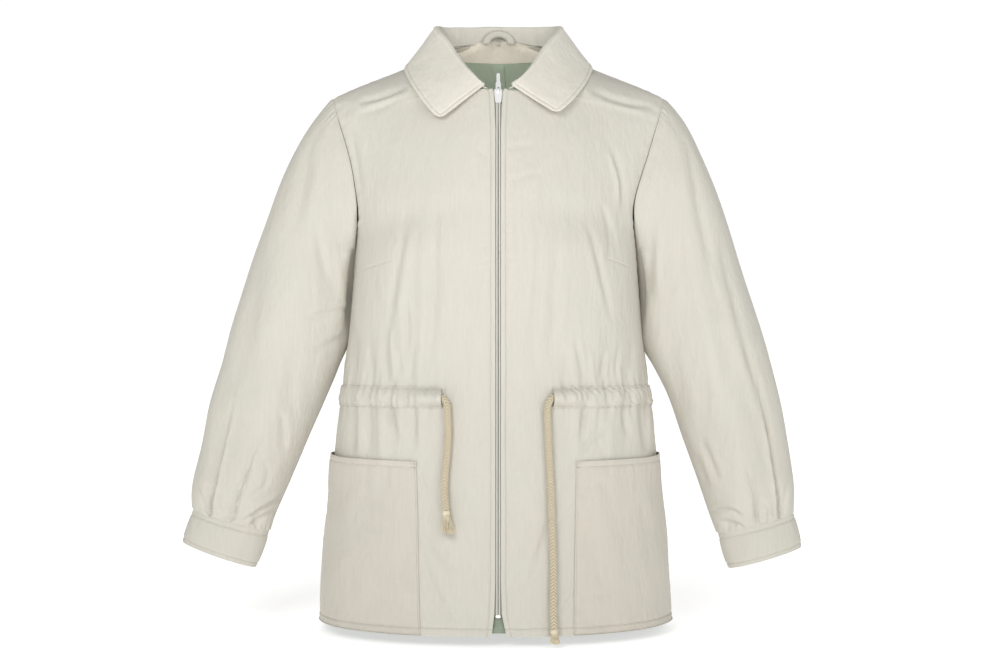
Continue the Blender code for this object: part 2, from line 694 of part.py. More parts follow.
def back_lining(cloth):
    """Lining of the back under the facing, with the edge of its centre pleat."""
    tree = inside_tree("back")
    across = np.linspace(-1, 1, 17)
    rows = []
    for z in np.linspace(BACK_LINING_TOP, BACK_LINING_BOTTOM, 6):
        half = min(BACK_LINING_HALF, BACK_LINING_TOP_HALF + (BACK_LINING_TOP - z) * BACK_LINING_SLOPE)
        row = np.array([inside_back(tree, x * half, z) for x in across])
        row[:, 1] -= PLEAT_DEPTH * np.exp(-(((row[:, 0] - PLEAT_X) / PLEAT_WIDTH) ** 2))
        rows.append(row)
    lining_wall("back_lining", np.array(rows), cloth, LINING_CLEARANCE)


def seam_point(neck_front, neck_back, station):
    """The neckline at a collar station, on the panels' own points."""
    if station <= COLLAR_SHOULDER:
        at = np.interp(station, [0, COLLAR_SHOULDER], [COLLAR_START, FRONT_NECK_STEPS])
        line = neck_front
    else:
        at = (station - COLLAR_SHOULDER) / (len(COLLAR) - 1 - COLLAR_SHOULDER) * BACK_NECK_STEPS
        line = neck_back[::-1]
    return np.array([np.interp(at, np.arange(len(line)), line[:, i]) for i in range(3)])


def collar_half(neck_front, neck_back, side):
    """Columns of the strip from the front edge to the centre back, and each one's way out of the neck."""
    table = np.array([(*s.roll, *s.edge, s.radius) for s in COLLAR])
    mirror = np.array([-1, 1, 1, -1, 1, 1, 1])
    table = np.concatenate([table, (table * mirror)[-2::-1]])
    front = np.linspace(0, COLLAR_SHOULDER, 2 * (FRONT_NECK_STEPS - COLLAR_START) + 1)
    back = np.linspace(COLLAR_SHOULDER, len(COLLAR) - 1, 2 * BACK_NECK_STEPS + 1)
    stations = np.concatenate([front, back[1:]])
    columns, ways = [], []
    for station, row in zip(stations, smooth(np.arange(len(table)), table, stations)):
        seam = seam_point(neck_front, neck_back, station)
        roll, edge, radius = row[0:3], row[3:6], row[6]
        out = unit(np.array([seam[0] - COLLAR_CENTRE[0], seam[1] - COLLAR_CENTRE[1], 0.0]))
        edge[2] += side * TIP_DROP * (1 - ease(0, 3, station))
        seam = seam + COLLAR_RISE * np.array([0, 0, 1.0]) - COLLAR_INSET * out
        columns.append(collar_profile(seam, roll, edge, radius, out) * (side, 1, 1))
        ways.append(out * (side, 1, 1))
    return columns, ways


def collar(body_tree, neck_front, neck_back, cloth):
    """Stand, roll and leaf in one folded strip, from one front edge round the back to the other."""
    left, left_ways = collar_half(neck_front, neck_back, -1)
    right, right_ways = collar_half(neck_front, neck_back, 1)
    grid = settled(np.array(left + right[-2::-1]), body_tree)
    ways = np.array(left_ways + right_ways[-2::-1])
    flat = grid.reshape(-1, 3)
    faces = grid_faces(grid.shape[:2])
    normals = unit(spread_normals(flat, faces)[0]).reshape(grid.shape)
    if normals[len(left) - 1, COLLAR_ROLL_ROW, 2] < 0:
        faces = [face[::-1] for face in faces]
        normals = -normals
    normals[:, 0] = -ways  # the stand's foot is square to the neckline
    return wall("collar", flat, faces, normals.reshape(-1, 3), LEAF, cloth)


def collar_profile(seam, roll, edge, radius, out):
    """Points of the good side across the strip: up the stand, over the roll and down the leaf."""
    up = np.array([0, 0, 1.0])
    inner = roll - (out + up) * radius
    outer = roll + (out - up) * radius
    beside, below = out * radius * ROLL_REACH, up * radius * ROLL_DROP
    points = [seam, (seam + inner) / 2, inner, roll - beside - below, roll, roll + beside - below, outer]
    for share in LEAF_SHARES:
        points.append(outer * (1 - share) + edge * share)
    return np.array(points)


def settled(grid, tree):
    """The grid with its leaf lifted clear of the body, at the points and halfway between columns."""
    grid = grid.copy()
    need = LEAF + LEAF_CLEARANCE
    count, across = grid.shape[:2]
    for _ in range(4):
        for row in range(COLLAR_ROLL_ROW + 2, across):
            for column in range(count):
                grid[column, row] += lift_needed(tree, grid[column, row], need)
            for column in range(count - 1):
                middle = (grid[column, row] + grid[column + 1, row]) / 2
                grid[column : column + 2, row] += lift_needed(tree, middle, need)
    return grid


def lift_needed(tree, point, need):
    """The move that takes a point to its needed distance from the body's surface."""
    place, normal, _, _ = tree.find_nearest(Vector(point))
    away = (Vector(point) - place).dot(normal)
    return np.array(normal) * max(need - away, 0.0)


def body_search_tree(panels):
    """The outer faces of the body and sleeves, for laying the collar on them."""
    points, faces = [], []
    for panel in panels:
        start = len(points)
        points += [Vector(p) for p in panel.points]
        faces += [tuple(i + start for i in face) for face in panel.faces]
    return BVHTree.FromPolygons(points, faces)


# ---------------------------------------------------------------------------------------------------
# Zip, loop and drawstring


def zip_half(name, grid, side, metal_tape):
    """Tape behind the front's edge, with the chain filling half of the slot."""
    top = SKIRT_ROWS + FRONT_STEPS
    sections = []
    for at in [1.03] + list(range(2, top)) + [top - 0.13]:
        row = np.array([cell(grid, at, c) for c in range(3)])
        y, z = row[0, 1], row[0, 2]
        under = np.interp(TAPE_WIDTH, np.abs(row[:, 0]), row[:, 1]) - y
        front, tape = y + CHAIN_SETBACK, y + TAPE_SETBACK
        outline = [
            (CHAIN_GAP, front),
            (CHAIN_WIDTH, front),
            (CHAIN_WIDTH, tape),
            (TAPE_WIDTH, tape + under),
            (TAPE_WIDTH, tape + under + TAPE),
            (CHAIN_GAP, tape + TAPE),
        ]
        sections.append([(side * x, depth, z) for x, depth in outline])
    loft(name, sections, metal_tape)


def box_points(x, y, z):
    return [(a, b, c) for c in z for a, b in ((x[0], y[0]), (x[1], y[0]), (x[1], y[1]), (x[0], y[1]))]


def block(name, x, y, z, cloth):
    """A box between three pairs of limits."""
    points = np.array(box_points(x, y, z)).reshape(2, 4, 3)
    return loft(name, points, cloth)


def bevelled(obj, width, segments=2):
    modifier = obj.modifiers.new("Edges", "BEVEL")
    modifier.width = width * MM
    modifier.segments = segments
    modifier.limit_method = "ANGLE"
    return obj


def united(obj, *others):
    """A Boolean union; the other shapes stay as hidden helpers."""
    for other in others:
        modifier = obj.modifiers.new("Join " + other.name, "BOOLEAN")
        modifier.operation = "UNION"
        modifier.object = other
        other.hide_render = True
        other.display_type = "WIRE"
    return obj


def slider_frame(fronts):
    """An empty on the front's surface at the slider's top, leaning as the front does there."""
    high, low = (front_depth(0.0, z, fronts) for z in (SLIDER_TOP - SLIDER_PROBE, SLIDER_BOTTOM))
    slope = (high - low) / (SLIDER_TOP - SLIDER_PROBE - SLIDER_BOTTOM)
    frame = bpy.data.objects.new("slider_frame", None)
    bpy.context.scene.collection.objects.link(frame)
    frame.location = (0, (high + SLIDER_PROBE * slope) * MM, SLIDER_TOP * MM)
    frame.rotation_euler = (-math.atan(slope), 0, 0)
    return frame


def slider(frame, metal):
    """Front plate, post, back plate and the crown that the pull's bar lies in."""
    face = -PLATE_CLEARANCE - PLATE
    plate = []
    for y in (face, face + PLATE):
        plate.append(
            [
                (-SLIDER_BOTTOM_HALF, y, -SLIDER_LENGTH),
                (SLIDER_BOTTOM_HALF, y, -SLIDER_LENGTH),
                (SLIDER_TOP_HALF, y, -SLIDER_SHOULDER),
                (SLIDER_TOP_HALF, y, 0.0),
                (-SLIDER_TOP_HALF, y, 0.0),
                (-SLIDER_TOP_HALF, y, -SLIDER_SHOULDER),
            ]
        )
    body = loft("zip_slider", plate, metal)
    back = TAPE_SETBACK + TAPE + REAR_CLEARANCE
    post = block(
        "slider_post",
        (-POST_HALF, POST_HALF),
        (face + POST_INSET, back + PLATE - POST_INSET),
        (-POST_HEIGHT, -POST_INSET),
        metal,
    )
    rear = block(
        "slider_rear",
        (-SLIDER_BOTTOM_HALF, SLIDER_BOTTOM_HALF),
        (back, back + PLATE),
        (REAR_FOOT - SLIDER_LENGTH, 0.0),
        metal,
    )
    crown = crown_loop(face, face - CROWN_REACH, metal)
    for obj in (body, post, rear, crown):
        obj.parent = frame
    return united(body, post, rear, crown)


def crown_loop(face, bridge, metal):
    """The arch on the plate, seen from the side as a square loop."""
    top, bottom = CROWN_HOLE_TOP + CROWN_BAR, CROWN_HOLE_BOTTOM - CROWN_BAR
    root = face + ROOT
    outline = [
        (root, top),
        (bridge + CROWN_CORNER, top),
        (bridge, top - CROWN_CORNER),
        (bridge, bottom + CROWN_CORNER),
        (bridge + CROWN_CORNER, bottom),
        (root, bottom),
        (root, CROWN_HOLE_BOTTOM),
        (bridge + CROWN_BAR, CROWN_HOLE_BOTTOM),
        (bridge + CROWN_BAR, CROWN_HOLE_TOP),
        (root, CROWN_HOLE_TOP),
    ]
    sections = [[(x, y, z) for y, z in outline] for x in (-CROWN_HALF, CROWN_HALF)]
    return loft("slider_crown", sections, metal)


def pull(frame, metal):
    """The tab, upright on its bar, with a window that straddles the crown."""
    axis = np.array([0.0, -PLATE_CLEARANCE - PLATE - PULL_AXIS_REACH, PULL_AXIS_Z])
    wide, narrow, foot = PULL_WIDE / 2, PULL_NARROW / 2, PULL_BAR
    outline = [
        (-wide, -foot),
        (wide, -foot),
        (wide, PULL_NECK_START),
        (narrow, PULL_NECK_END),
        (narrow, PULL_LENGTH - PULL_TIP),
        (narrow - PULL_TIP_CUT, PULL_LENGTH),
        (PULL_TIP_CUT - narrow, PULL_LENGTH),
        (-narrow, PULL_LENGTH - PULL_TIP),
        (-narrow, PULL_NECK_END),
        (-wide, PULL_NECK_START),
    ]
    sections = [[(x, y, z) for x, z in outline] for y in (-PULL_THICK / 2, PULL_THICK / 2)]
    tab = loft("zip_pull", sections, metal)
    window = block(
        "pull_window", (-WINDOW_HALF, WINDOW_HALF), (-PULL_THICK, PULL_THICK), (PULL_BAR, WINDOW_LENGTH), metal
    )
    cut = tab.modifiers.new("Window", "BOOLEAN")
    cut.operation = "DIFFERENCE"
    cut.object = window
    window.hide_render = True
    window.display_type = "WIRE"
    holder = bpy.data.objects.new("pull_axis", None)
    bpy.context.scene.collection.objects.link(holder)
    holder.parent = frame
    holder.location = axis * MM
    holder.rotation_euler = (-math.radians(PULL_REST_LEAN), 0, 0)
    for obj in (tab, window):
        obj.parent = holder
    return tab


def hanger_loop(cloth):
    """An arch of flat tape that stands just in front of the collar's stand."""
    angles = np.linspace(0, math.pi, 15)
    sections = []
    for a in angles:
        outline = []
        for width, rise in ((LOOP_OUTER_WIDTH, LOOP_OUTER_RISE), (LOOP_INNER_WIDTH, LOOP_INNER_RISE)):
            height = rise * math.sin(a)
            y = LOOP_Y - LOOP_LEAN * height / LOOP_OUTER_RISE
            outline.append((width / 2 * math.cos(a), y, LOOP_FOOT_Z + height))
        (ox, oy, oz), (ix, iy, iz) = outline
        half = LOOP_TAPE / 2
        sections.append([(ox, oy - half, oz), (ix, iy - half, iz), (ix, iy + half, iz), (ox, oy + half, oz)])
    return loft("hanger_loop", sections, cloth)


def cord_route(table, grids):
    """The cord's middle line, hanging just clear of the front, as evenly spaced points."""
    places = []
    for point in table:
        surface = front_depth(point.x, point.z, grids)
        places.append((point.x, surface - CORD_DIAMETER / 2 - point.clearance, point.z))
    fine = smooth(np.arange(len(places)), places, np.linspace(0, len(places) - 1, 400))
    along = np.concatenate([[0], np.cumsum(np.linalg.norm(np.diff(fine, axis=0), axis=1))])
    count = int(along[-1] / (CORD_DIAMETER * 0.85)) + 1
    return np.stack([np.interp(np.linspace(0, along[-1], count), along, fine[:, i]) for i in range(3)], axis=1)


def cord(name, route, yarn):
    curve = bpy.data.curves.new(name, "CURVE")
    curve.dimensions = "3D"
    curve.bevel_depth = CORD_DIAMETER / 2 * MM
    curve.bevel_resolution = 2
    curve.use_fill_caps = True
    spline = curve.splines.new("POLY")
    spline.points.add(len(route) - 1)
    for slot, point in zip(spline.points, route):
        slot.co = (*(point * MM), 1.0)
    curve.materials.append(yarn)
    obj = bpy.data.objects.new(name, curve)
    bpy.context.scene.collection.objects.link(obj)
    return obj


def turned(name, start, axis, profile, sides, yarn):
    """A turned solid along an axis: profile holds (distance along it, radius)."""
    axis = unit(np.asarray(axis, float))
    across = unit(np.cross(axis, (0, 1.0, 0)))
    other = np.cross(axis, across)
    sections = []
    for distance, radius in profile:
        ring = []
        for i in range(sides):
            a = 2 * math.pi * i / sides
            ring.append(start + axis * distance + radius * (math.cos(a) * across + math.sin(a) * other))
        sections.append(ring)
    return loft(name, sections, yarn)


def cord_end(name, route, tuft, splay, yarn):
    """The whipping round the cord's end, and the strands that it binds."""
    axis = unit(route[-1] - route[-2])
    start = route[-1] + axis * 0.3
    r = WHIPPING_DIAMETER / 2
    profile = [
        (0, r - WHIPPING_ROUND),
        (WHIPPING_ROUND, r),
        (WHIPPING_LENGTH - WHIPPING_ROUND, r),
        (WHIPPING_LENGTH, r - WHIPPING_ROUND),
    ]
    head = turned(name, start, axis, profile, 12, yarn)
    across = unit(np.cross(axis, (0, 1.0, 0)))
    forward = np.cross(axis, across)
    points, faces = [], []
    root = start + axis * (WHIPPING_LENGTH - 1.2)
    for ring, (count, radius) in enumerate(STRAND_RINGS):
        for i in range(count):
            a = 2 * math.pi * (i + 0.37 * ring) / count
            out = math.cos(a) * across + math.sin(a) * forward
            length = tuft * (0.86 + 0.14 * math.sin(2.4 * i + 1.7 * ring))
            for share, width in ((0, 1.0), (0.5, 1.0), (1.0, 0.6)):
                bow = splay * radius / 3.8 * share**1.5 * length * 0.55
                centre = root + out * (radius + bow) + axis * (length + 1.2) * share
                for dx, dy in ((-1, -1), (1, -1), (1, 1), (-1, 1)):
                    points.append(centre + (across * dx + forward * dy) * STRAND / 2 * width)
            base = len(points) - 12
            faces += [tuple(base + k for k in face) for face in grid_faces((3, 4), around=True)]
            faces += [tuple(base + k for k in (0, 1, 2, 3)), tuple(base + k for k in (11, 10, 9, 8))]
    strands = mesh_object(name + "_strands", points, faces, yarn)
    return united(head, strands)


# ---------------------------------------------------------------------------------------------------
# The garment


def clear_scene():
    for obj in list(bpy.data.objects):
        bpy.data.objects.remove(obj, do_unlink=True)


def build():
    clear_scene()
    shell = material("shell_poplin", (0.69, 0.67, 0.59), 0.62)
    green = material("sage_lining", (0.35, 0.45, 0.32), 0.55)
    yarn = material("cord_yarn", (0.66, 0.55, 0.36), 0.85)
    tape = material("zip_tape", (0.60, 0.58, 0.52), 0.60, 0.2)
    metal = material("zip_metal", (0.80, 0.80, 0.78), 0.28, 1.0)

    front = body_half(True)
    back = body_half(False)
    fronts = {side: open_slit(side_of(front, side), side) for side in (-1, 1)}
    backs = {side: side_of(back, side) for side in (-1, 1)}

    panels = []
    sleeves = {}
    for side, word in ((-1, "left"), (1, "right")):
        points, faces = joined(fronts[side])
        panels.append(Panel("front_" + word, points, turned_out(points, faces, BODY_MIDDLE), shell))
        first = SKIRT_ROWS
        down_front = fronts[side][first:, -1][::-1]
        up_back = backs[side][first:, -1]
        armhole = np.concatenate([down_front, up_back[1:-1]])
        rings, cuff_end = (SLEEVE_LEFT, CUFF_END_LEFT) if side < 0 else (SLEEVE_RIGHT, CUFF_END_RIGHT)
        sleeves[side] = sleeve_grid(armhole, rings)
        flat = sleeves[side].reshape(-1, 3)
        panels.append(Panel("sleeve_" + word, flat, tube_faces(sleeves[side]), shell))
        cuff = cuff_grid(sleeves[side][-1], cuff_end)
        panels.append(Panel("cuff_" + word, cuff.reshape(-1, 3), tube_faces(cuff), shell, BAND))
    points, faces = joined(backs[-1][:, ::-1], backs[1])
    panels.append(Panel("back", points, turned_out(points, faces, BODY_MIDDLE), shell))
    sew(panels)

    tree = body_search_tree(panels)
    neck = SKIRT_ROWS + BACK_STEPS
    collar(tree, fronts[1][SKIRT_ROWS + FRONT_STEPS :, 0], backs[1][neck:, 0], shell)
    neckline = np.concatenate([backs[-1][neck:, 0][::-1], backs[1][neck + 1 :, 0]])
    back_neck_facing(neckline, shell)
    back_lining(green)
    casing(shell)
    pocket("pocket_left", fronts[-1], POCKET_LEFT_TOP, POCKET_LEFT_HEM, shell)
    pocket("pocket_right", fronts[1], POCKET_RIGHT_TOP, POCKET_RIGHT_HEM, shell)

    zip_half("zip_left", fronts[-1], -1, tape)
    zip_half("zip_right", fronts[1], 1, tape)
    stop_y = fronts[1][1, 0, 1]
    depths = (stop_y - STOP_FRONT, stop_y + STOP_BACK)
    stop = block("zip_stop", (-STOP_HALF, STOP_HALF), depths, (STOP - STOP_DOWN, STOP + STOP_UP), metal)
    bevelled(stop, STOP_ROUND)
    frame = slider_frame(fronts)
    slider(frame, metal)
    pull(frame, metal)
    guard(fronts, green)
    hanger_loop(shell)

    for table, word, tuft, splay in (
        (CORD_LEFT, "left", TUFT_LEFT, TUFT_SPLAY_LEFT),
        (CORD_RIGHT, "right", TUFT_RIGHT, TUFT_SPLAY_RIGHT),
    ):
        route = cord_route(table, fronts)
        cord("cord_" + word, route, yarn)
        cord_end("cord_end_" + word, route, tuft, splay, yarn)


def tube_faces(grid):
    """Faces of a tube, turned to point away from its own middle line."""
    faces = grid_faces(grid.shape[:2], around=True)
    flat = grid.reshape(-1, 3)
    middles = np.repeat(grid.mean(axis=1), grid.shape[1], axis=0)
    away = flat - middles
    normals, _ = spread_normals(flat, faces)
    if (normals * away).sum() < 0:
        return [face[::-1] for face in faces]
    return faces


def guard(fronts, cloth):
    """The strip behind the lower end of the zip."""
    sections = []
    for z in np.linspace(GUARD_BOTTOM, GUARD_TOP, 5):
        y = front_depth(0.0, z, fronts) + GUARD_SETBACK
        side_y = y + GUARD_BEND
        sections.append(
            [
                (-GUARD_HALF_LEFT, side_y, z),
                (0, y, z),
                (GUARD_HALF_RIGHT, side_y, z),
                (GUARD_HALF_RIGHT, side_y + LINING, z),
                (0, y + LINING, z),
                (-GUARD_HALF_LEFT, side_y + LINING, z),
            ]
        )
    loft("zip_guard", sections, cloth)


build()
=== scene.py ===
"""Looks of a women's anorak in stone poplin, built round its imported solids.

The frame's axes: +Z up, the zip faces -Y, +X on the viewer's right. Tables and lengths are in millimetres;
meshes are made in metres. The tables of the body, sleeves, collar and cords are those of the part's solids.
"""

import math
from collections import namedtuple

import bpy
import numpy as np
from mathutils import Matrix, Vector
from mathutils.bvhtree import BVHTree


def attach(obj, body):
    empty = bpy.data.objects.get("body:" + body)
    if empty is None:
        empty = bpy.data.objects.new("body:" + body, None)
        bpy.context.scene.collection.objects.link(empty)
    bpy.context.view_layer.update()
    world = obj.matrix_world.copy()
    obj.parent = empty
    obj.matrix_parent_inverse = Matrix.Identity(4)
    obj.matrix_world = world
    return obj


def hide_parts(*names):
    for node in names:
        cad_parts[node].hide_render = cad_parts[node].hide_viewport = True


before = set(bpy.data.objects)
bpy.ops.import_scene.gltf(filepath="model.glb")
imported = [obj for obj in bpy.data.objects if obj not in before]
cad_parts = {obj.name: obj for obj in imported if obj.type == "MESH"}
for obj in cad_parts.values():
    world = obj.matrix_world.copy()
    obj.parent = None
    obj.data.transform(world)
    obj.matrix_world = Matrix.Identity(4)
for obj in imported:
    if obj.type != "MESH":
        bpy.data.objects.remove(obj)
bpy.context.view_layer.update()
scene = bpy.context.scene

MM = 0.001
BODY = "anorak"
SIDES = ((-1, "left"), (1, "right"))  # as the photo shows them

# Heights on the body
HEM = -710.0
STOP = -684.0  # lower end of the zip
ARMPIT = -232.0
NECK_FRONT = -52.0

# Body sections, from the hem up to the armpit
Section = namedtuple("Section", "z half_width front back")
SECTIONS = tuple(Section(*row) for row in (
    (HEM, 223, 146, 138), (-663, 221.2, 143, 134), (-580, 214.4, 135, 126), (-503, 206, 128, 118),
    (-465, 201.8, 123, 113), (-425, 195.5, 119, 108), (-386, 192.5, 118, 106), (-360, 188.5, 119, 106),
    (-303, 183.5, 123, 108), (-250, 180, 126, 110), (ARMPIT, 179, 126.5, 111),
))
ROUNDNESS = 0.60  # handle length of a section, as a share of its half width; a circle has 0.552
LEAN = -3.7  # the left side stands this much further out below the chest, and the right that much less
LEAN_FROM, LEAN_TO = -190.0, -120.0  # heights between which the lean fades out
SKIRT_ROWS = 13
ROW_HEIGHTS = np.concatenate([[HEM], np.linspace(STOP, ARMPIT, SKIRT_ROWS)])
COLUMNS = 10  # mesh columns from the centre to a side

# Rows of the fronts above the armpit, each a cubic from the centre edge or neckline to the armhole.
# A pull is the cubic's handle, measured from its end. The last row is the shoulder seam.
Row = namedtuple("Row", "inner inner_pull outer_pull outer")
FRONT_ROWS = tuple(Row(*row) for row in (
    ((3.3, -127, -205), (60, 0, 0), (-4, -44, 0), (174.5, -31, -216)),
    ((3.3, -126, -172), (60, 0, 0), (-24, -38, 3), (173.5, -45, -188)),
    ((3.3, -121, -135), (62, 0, 0), (-40, -32, 3), (181, -45, -150)),
    ((3.3, -113, -98), (62, 2, 0), (-48, -27, 4), (191.5, -39, -112)),
    ((5.5, -98, NECK_FRONT), (56, 7, -2), (-52, -24, 8), (202, -30, -79)),
    ((18, -92, -48), (50, 3, -4), (-51, -22, 9), (205.5, -24.5, -67.5)),
    ((50, -67, -29), (40, -3, -6), (-50, -20, 10), (208, -19, -58)),
    ((67, -33, -4), (38, -5, -16), (-48, -12, 18), (210.6, -9.5, -49.5)),
    ((72, 0, 17), (40, 0, -28), (-50, 0, 26), (211.5, 0, -46.5)),
))
FRONT_NECK_ROW = 5  # counted from the armpit section; the neckline starts here
FRONT_STEPS, FRONT_NECK_STEPS = 7, 6

BACK_ROWS = tuple(Row(*row) for row in (
    ((0, 113, -195), (60, 0, 0), (-2, 42, 0), (176, 33, -215)),
    ((0, 114, -155), (62, 0, 0), (-16, 36, 3), (177, 50, -187)),
    ((0, 112, -112), (62, 0, 0), (-34, 31, 3), (184.5, 51, -150)),
    ((0, 107, -70), (60, 0, 0), (-42, 26, 4), (193, 44, -112)),
    ((0, 95, -22), (58, 0, 0), (-48, 20, 8), (202, 33, -80)),
    ((0, 65, 33), (42, 4, -3), (-50, 16, 12), (208, 21, -58)),
    ((45, 50, 28.5), (38, 6, -16), (-48, 10, 18), (210.6, 10, -49.5)),
    ((72, 0, 17), (40, 0, -28), (-50, 0, 26), (211.5, 0, -46.5)),
))
BACK_NECK_ROW = 6
BACK_STEPS, BACK_NECK_STEPS = 8, 4

# Sleeve sections: the outer and the inner point in the front view, then depth
Ring = namedtuple("Ring", "outer_x outer_z inner_x inner_z y half_depth")
SLEEVE_LEFT = tuple(Ring(*row) for row in (
    (-318, -268, -189.5, -300, 2, 58), (-337.5, -328, -192, -356, 0, 60),
    (-354, -389, -220.5, -427.5, -4, 58), (-370, -447, -244.5, -485.5, -9, 55),
    (-379.8, -498, -265.1, -533.7, -15, 51), (-386.4, -539.2, -280.4, -571.9, -20, 44),
    (-387, -570.3, -290.3, -598.5, -22, 30),
))
SLEEVE_RIGHT = tuple(Ring(*row) for row in (
    (312, -268, 182.5, -298, 2, 58), (331, -328, 184.5, -354, 0, 60), (347.5, -385, 215, -423, -4, 58),
    (360, -439.5, 233.5, -478, -9, 55), (368, -492, 250.7, -528.2, -15, 51),
    (373.5, -540.2, 267, -573.4, -20, 44), (374.2, -574.7, 277.7, -601.5, -22, 30),
))
CUFF_END = {
    "left": Ring(-399, -610, -306.7, -642.3, -26, 28),
    "right": Ring(382.5, -616.3, 290.8, -643.4, -26, 28),
}
CAP_RISE, CAP_LANDING = 0.305, 0.36  # handle lengths of the cap, as shares of its span

# Soft folds and cuff pleats in a sleeve: angle round it from the outer edge over the front, how far that
# angle turns by the lower end, depth, half width in degrees, and the stretch in sections
Fold = namedtuple("Fold", "angle turn depth spread start end")
SLEEVE_FOLDS = tuple(Fold(*row) for row in (
    (40, 12, -3.5, 17, 0.5, 4.6), (78, -14, -4, 19, 1, 5), (118, 10, -3, 17, 0.2, 3.6),
    (228, 10, -3.5, 18, 0.6, 4.4), (285, -12, -4, 20, 1.2, 5.2), (60, 0, -6.5, 11, 4.7, 6.6),
    (90, 0, -5.5, 11, 4.9, 6.6), (135, 0, -4.5, 11, 5.1, 6.6), (240, 0, -5, 11, 4.9, 6.6),
    (285, 0, -5.5, 11, 4.8, 6.6),
))

# Collar stations from the centre front to the centre back: the top of the roll, the leaf's edge and the
# radius of the roll. The shoulder seam is at station 4.
Station = namedtuple("Station", "roll edge radius")
COLLAR = tuple(Station(*row) for row in (
    ((18, -97.5, -42), (72, -106, -83), 2.8), ((31, -86, -28), (86, -94, -69), 3.3),
    ((45, -67, -10), (99, -76, -52), 4), ((62, -37, 19), (113, -42, -29), 4.5),
    ((80, 4, 45.5), (118, 2, -6), 4.5), ((63, 44, 52.5), (92, 66, 0), 4.5),
    ((0, 62, 56), (0, 93, -4), 4.5),
))
COLLAR_SHOULDER = 4
COLLAR_START = 1  # the collar's front edge meets the neckline at this step of the front
COLLAR_CENTRE = (0.0, -15.0)  # the neck's middle, which the roll faces away from
COLLAR_ROLL_ROW = 4  # the top of the roll, counted across the strip from the seam
COLLAR_FALL_ROW = 6  # the stitched leaf begins here
TIP_DROP = 3.3  # the left tip hangs this much lower, and the right that much higher
COLLAR_RISE, COLLAR_INSET = 0.9, 1.7  # the stand starts this far above and inside the neckline

# Zip and the slit under it
EDGE = 3.3  # half the slot between the fronts
SLIT_LEFT, SLIT_RIGHT = 7.8, 10.2  # half widths of the slit under the zip, at the hem
TAPE_WIDTH, TAPE_SETBACK, TAPE_WALL = 14.0, 2.5, 0.8

# Waist casing
CASING_TOP, CASING_BOTTOM = -413.0, -438.0
CASING_END_LEFT, CASING_END_RIGHT = -67.0, 65.0
CASING_SWELL, MOUTH_SWELL, MOUTH_REACH = 3.4, 7.8, 34.0

# Pockets: the height of the mouth, and how far from the middle each inner edge is at the mouth and the hem
POCKET_TOP = -502.0
POCKET_INNER = {"left": (99.0, 93.0), "right": (94.0, 90.5)}

# Drawstring: the middle of each free end, from inside the casing down to the whipping
CORD_DIAMETER = 9.0
CordPoint = namedtuple("CordPoint", "x z clearance")
CORD_LEFT = tuple(CordPoint(*row) for row in (
    (-77, -424.5, 0.6), (-71, -424.6, 0.7), (-65.5, -427, 1.2), (-61.6, -434.5, 2.2), (-61, -445.6, 2.6),
    (-60.2, -464, 2.2), (-60.6, -483, 1.8), (-62.4, -503, 1.8), (-64, -522, 2), (-64.2, -540, 2.4),
    (-62.5, -560, 3.2),
))
CORD_RIGHT = tuple(CordPoint(*row) for row in (
    (76, -424.5, 0.6), (70, -424.6, 0.7), (64, -427, 1.2), (60.2, -434.5, 2.2), (59.5, -445.6, 2.6),
    (60.4, -468, 2.2), (61.8, -500, 1.8), (63.6, -540, 1.8), (65, -583, 1.8), (66.2, -625, 1.8),
    (66, -655, 1.8), (66, -680, 2.2), (66.8, -700, 2.8),
))
BRAID_COLUMNS, BRAID_PITCH, BRAID_SLANT = 6, 3.9, 0.55
WHIPPING_LENGTH, WHIPPING_DIAMETER = 5.5, 9.8
TUFT = {"left": (23.0, 0.44), "right": (12.5, 0.42)}  # length, and how far it splays

# Hanger loop, an arch of flat tape sewn into the neck seam
LOOP_OUTER_WIDTH, LOOP_INNER_WIDTH = 44.0, 22.0
LOOP_OUTER_RISE, LOOP_INNER_RISE = 17.2, 8.0
LOOP_FOOT_Z, LOOP_Y = 32.4, 52.8
LOOP_TAPE = 1.6  # the thickness of the folded tape
LOOP_LEAN = 3.0  # the top stands this far forward of the feet

# Lining and facing inside the back neck
FACING_EDGE_Z = 11.0
FACING_SPREAD = 1.08
BACK_LINING_TOP, BACK_LINING_BOTTOM = 9.5, -70.0
BACK_LINING_TOP_HALF, BACK_LINING_HALF, BACK_LINING_SLOPE = 62.0, 92.0, 1.1
PLEAT_X = 9.0

# Zip guard, seen in the slit
GUARD_LEFT, GUARD_RIGHT = 20.0, 22.0
GUARD_TOP, GUARD_BOTTOM = -640.0, -706.5
GUARD_SETBACK = 4.6


# ----------------------------------------
# Camera, light and floor

CAMERA_X, CAMERA_Z = 7.0, -350.7
CAMERA_DISTANCE = 2150.0  # from the body's middle plane
CAMERA_LENS, SENSOR = 60.0, 36.0
FLOOR_Z = -723.0
FLOOR_SIDE, FLOOR_NEAR, FLOOR_FAR = 15000, -6000, 30000
WALL_LIGHT, ROOM_LIGHT = 1.04, 0.34
KEY_WATTS, FILL_WATTS, NECK_WATTS = 18.8, 11.0, 4.9
FLOOR_GLOW, FLOOR_GLOW_FAR = 0.57, 0.85  # the floor's painted glow under the garment, and further out


def placed(data, name, location=(0, 0, 0), aim=None):
    """An object in the scene at a place in millimetres, turned to look at another."""
    obj = bpy.data.objects.new(name, data)
    scene.collection.objects.link(obj)
    obj.location = [v * MM for v in location]
    if aim is not None:
        way = Vector(aim) - Vector(location)
        obj.rotation_euler = way.to_track_quat("-Z", "Y").to_euler()
    return obj


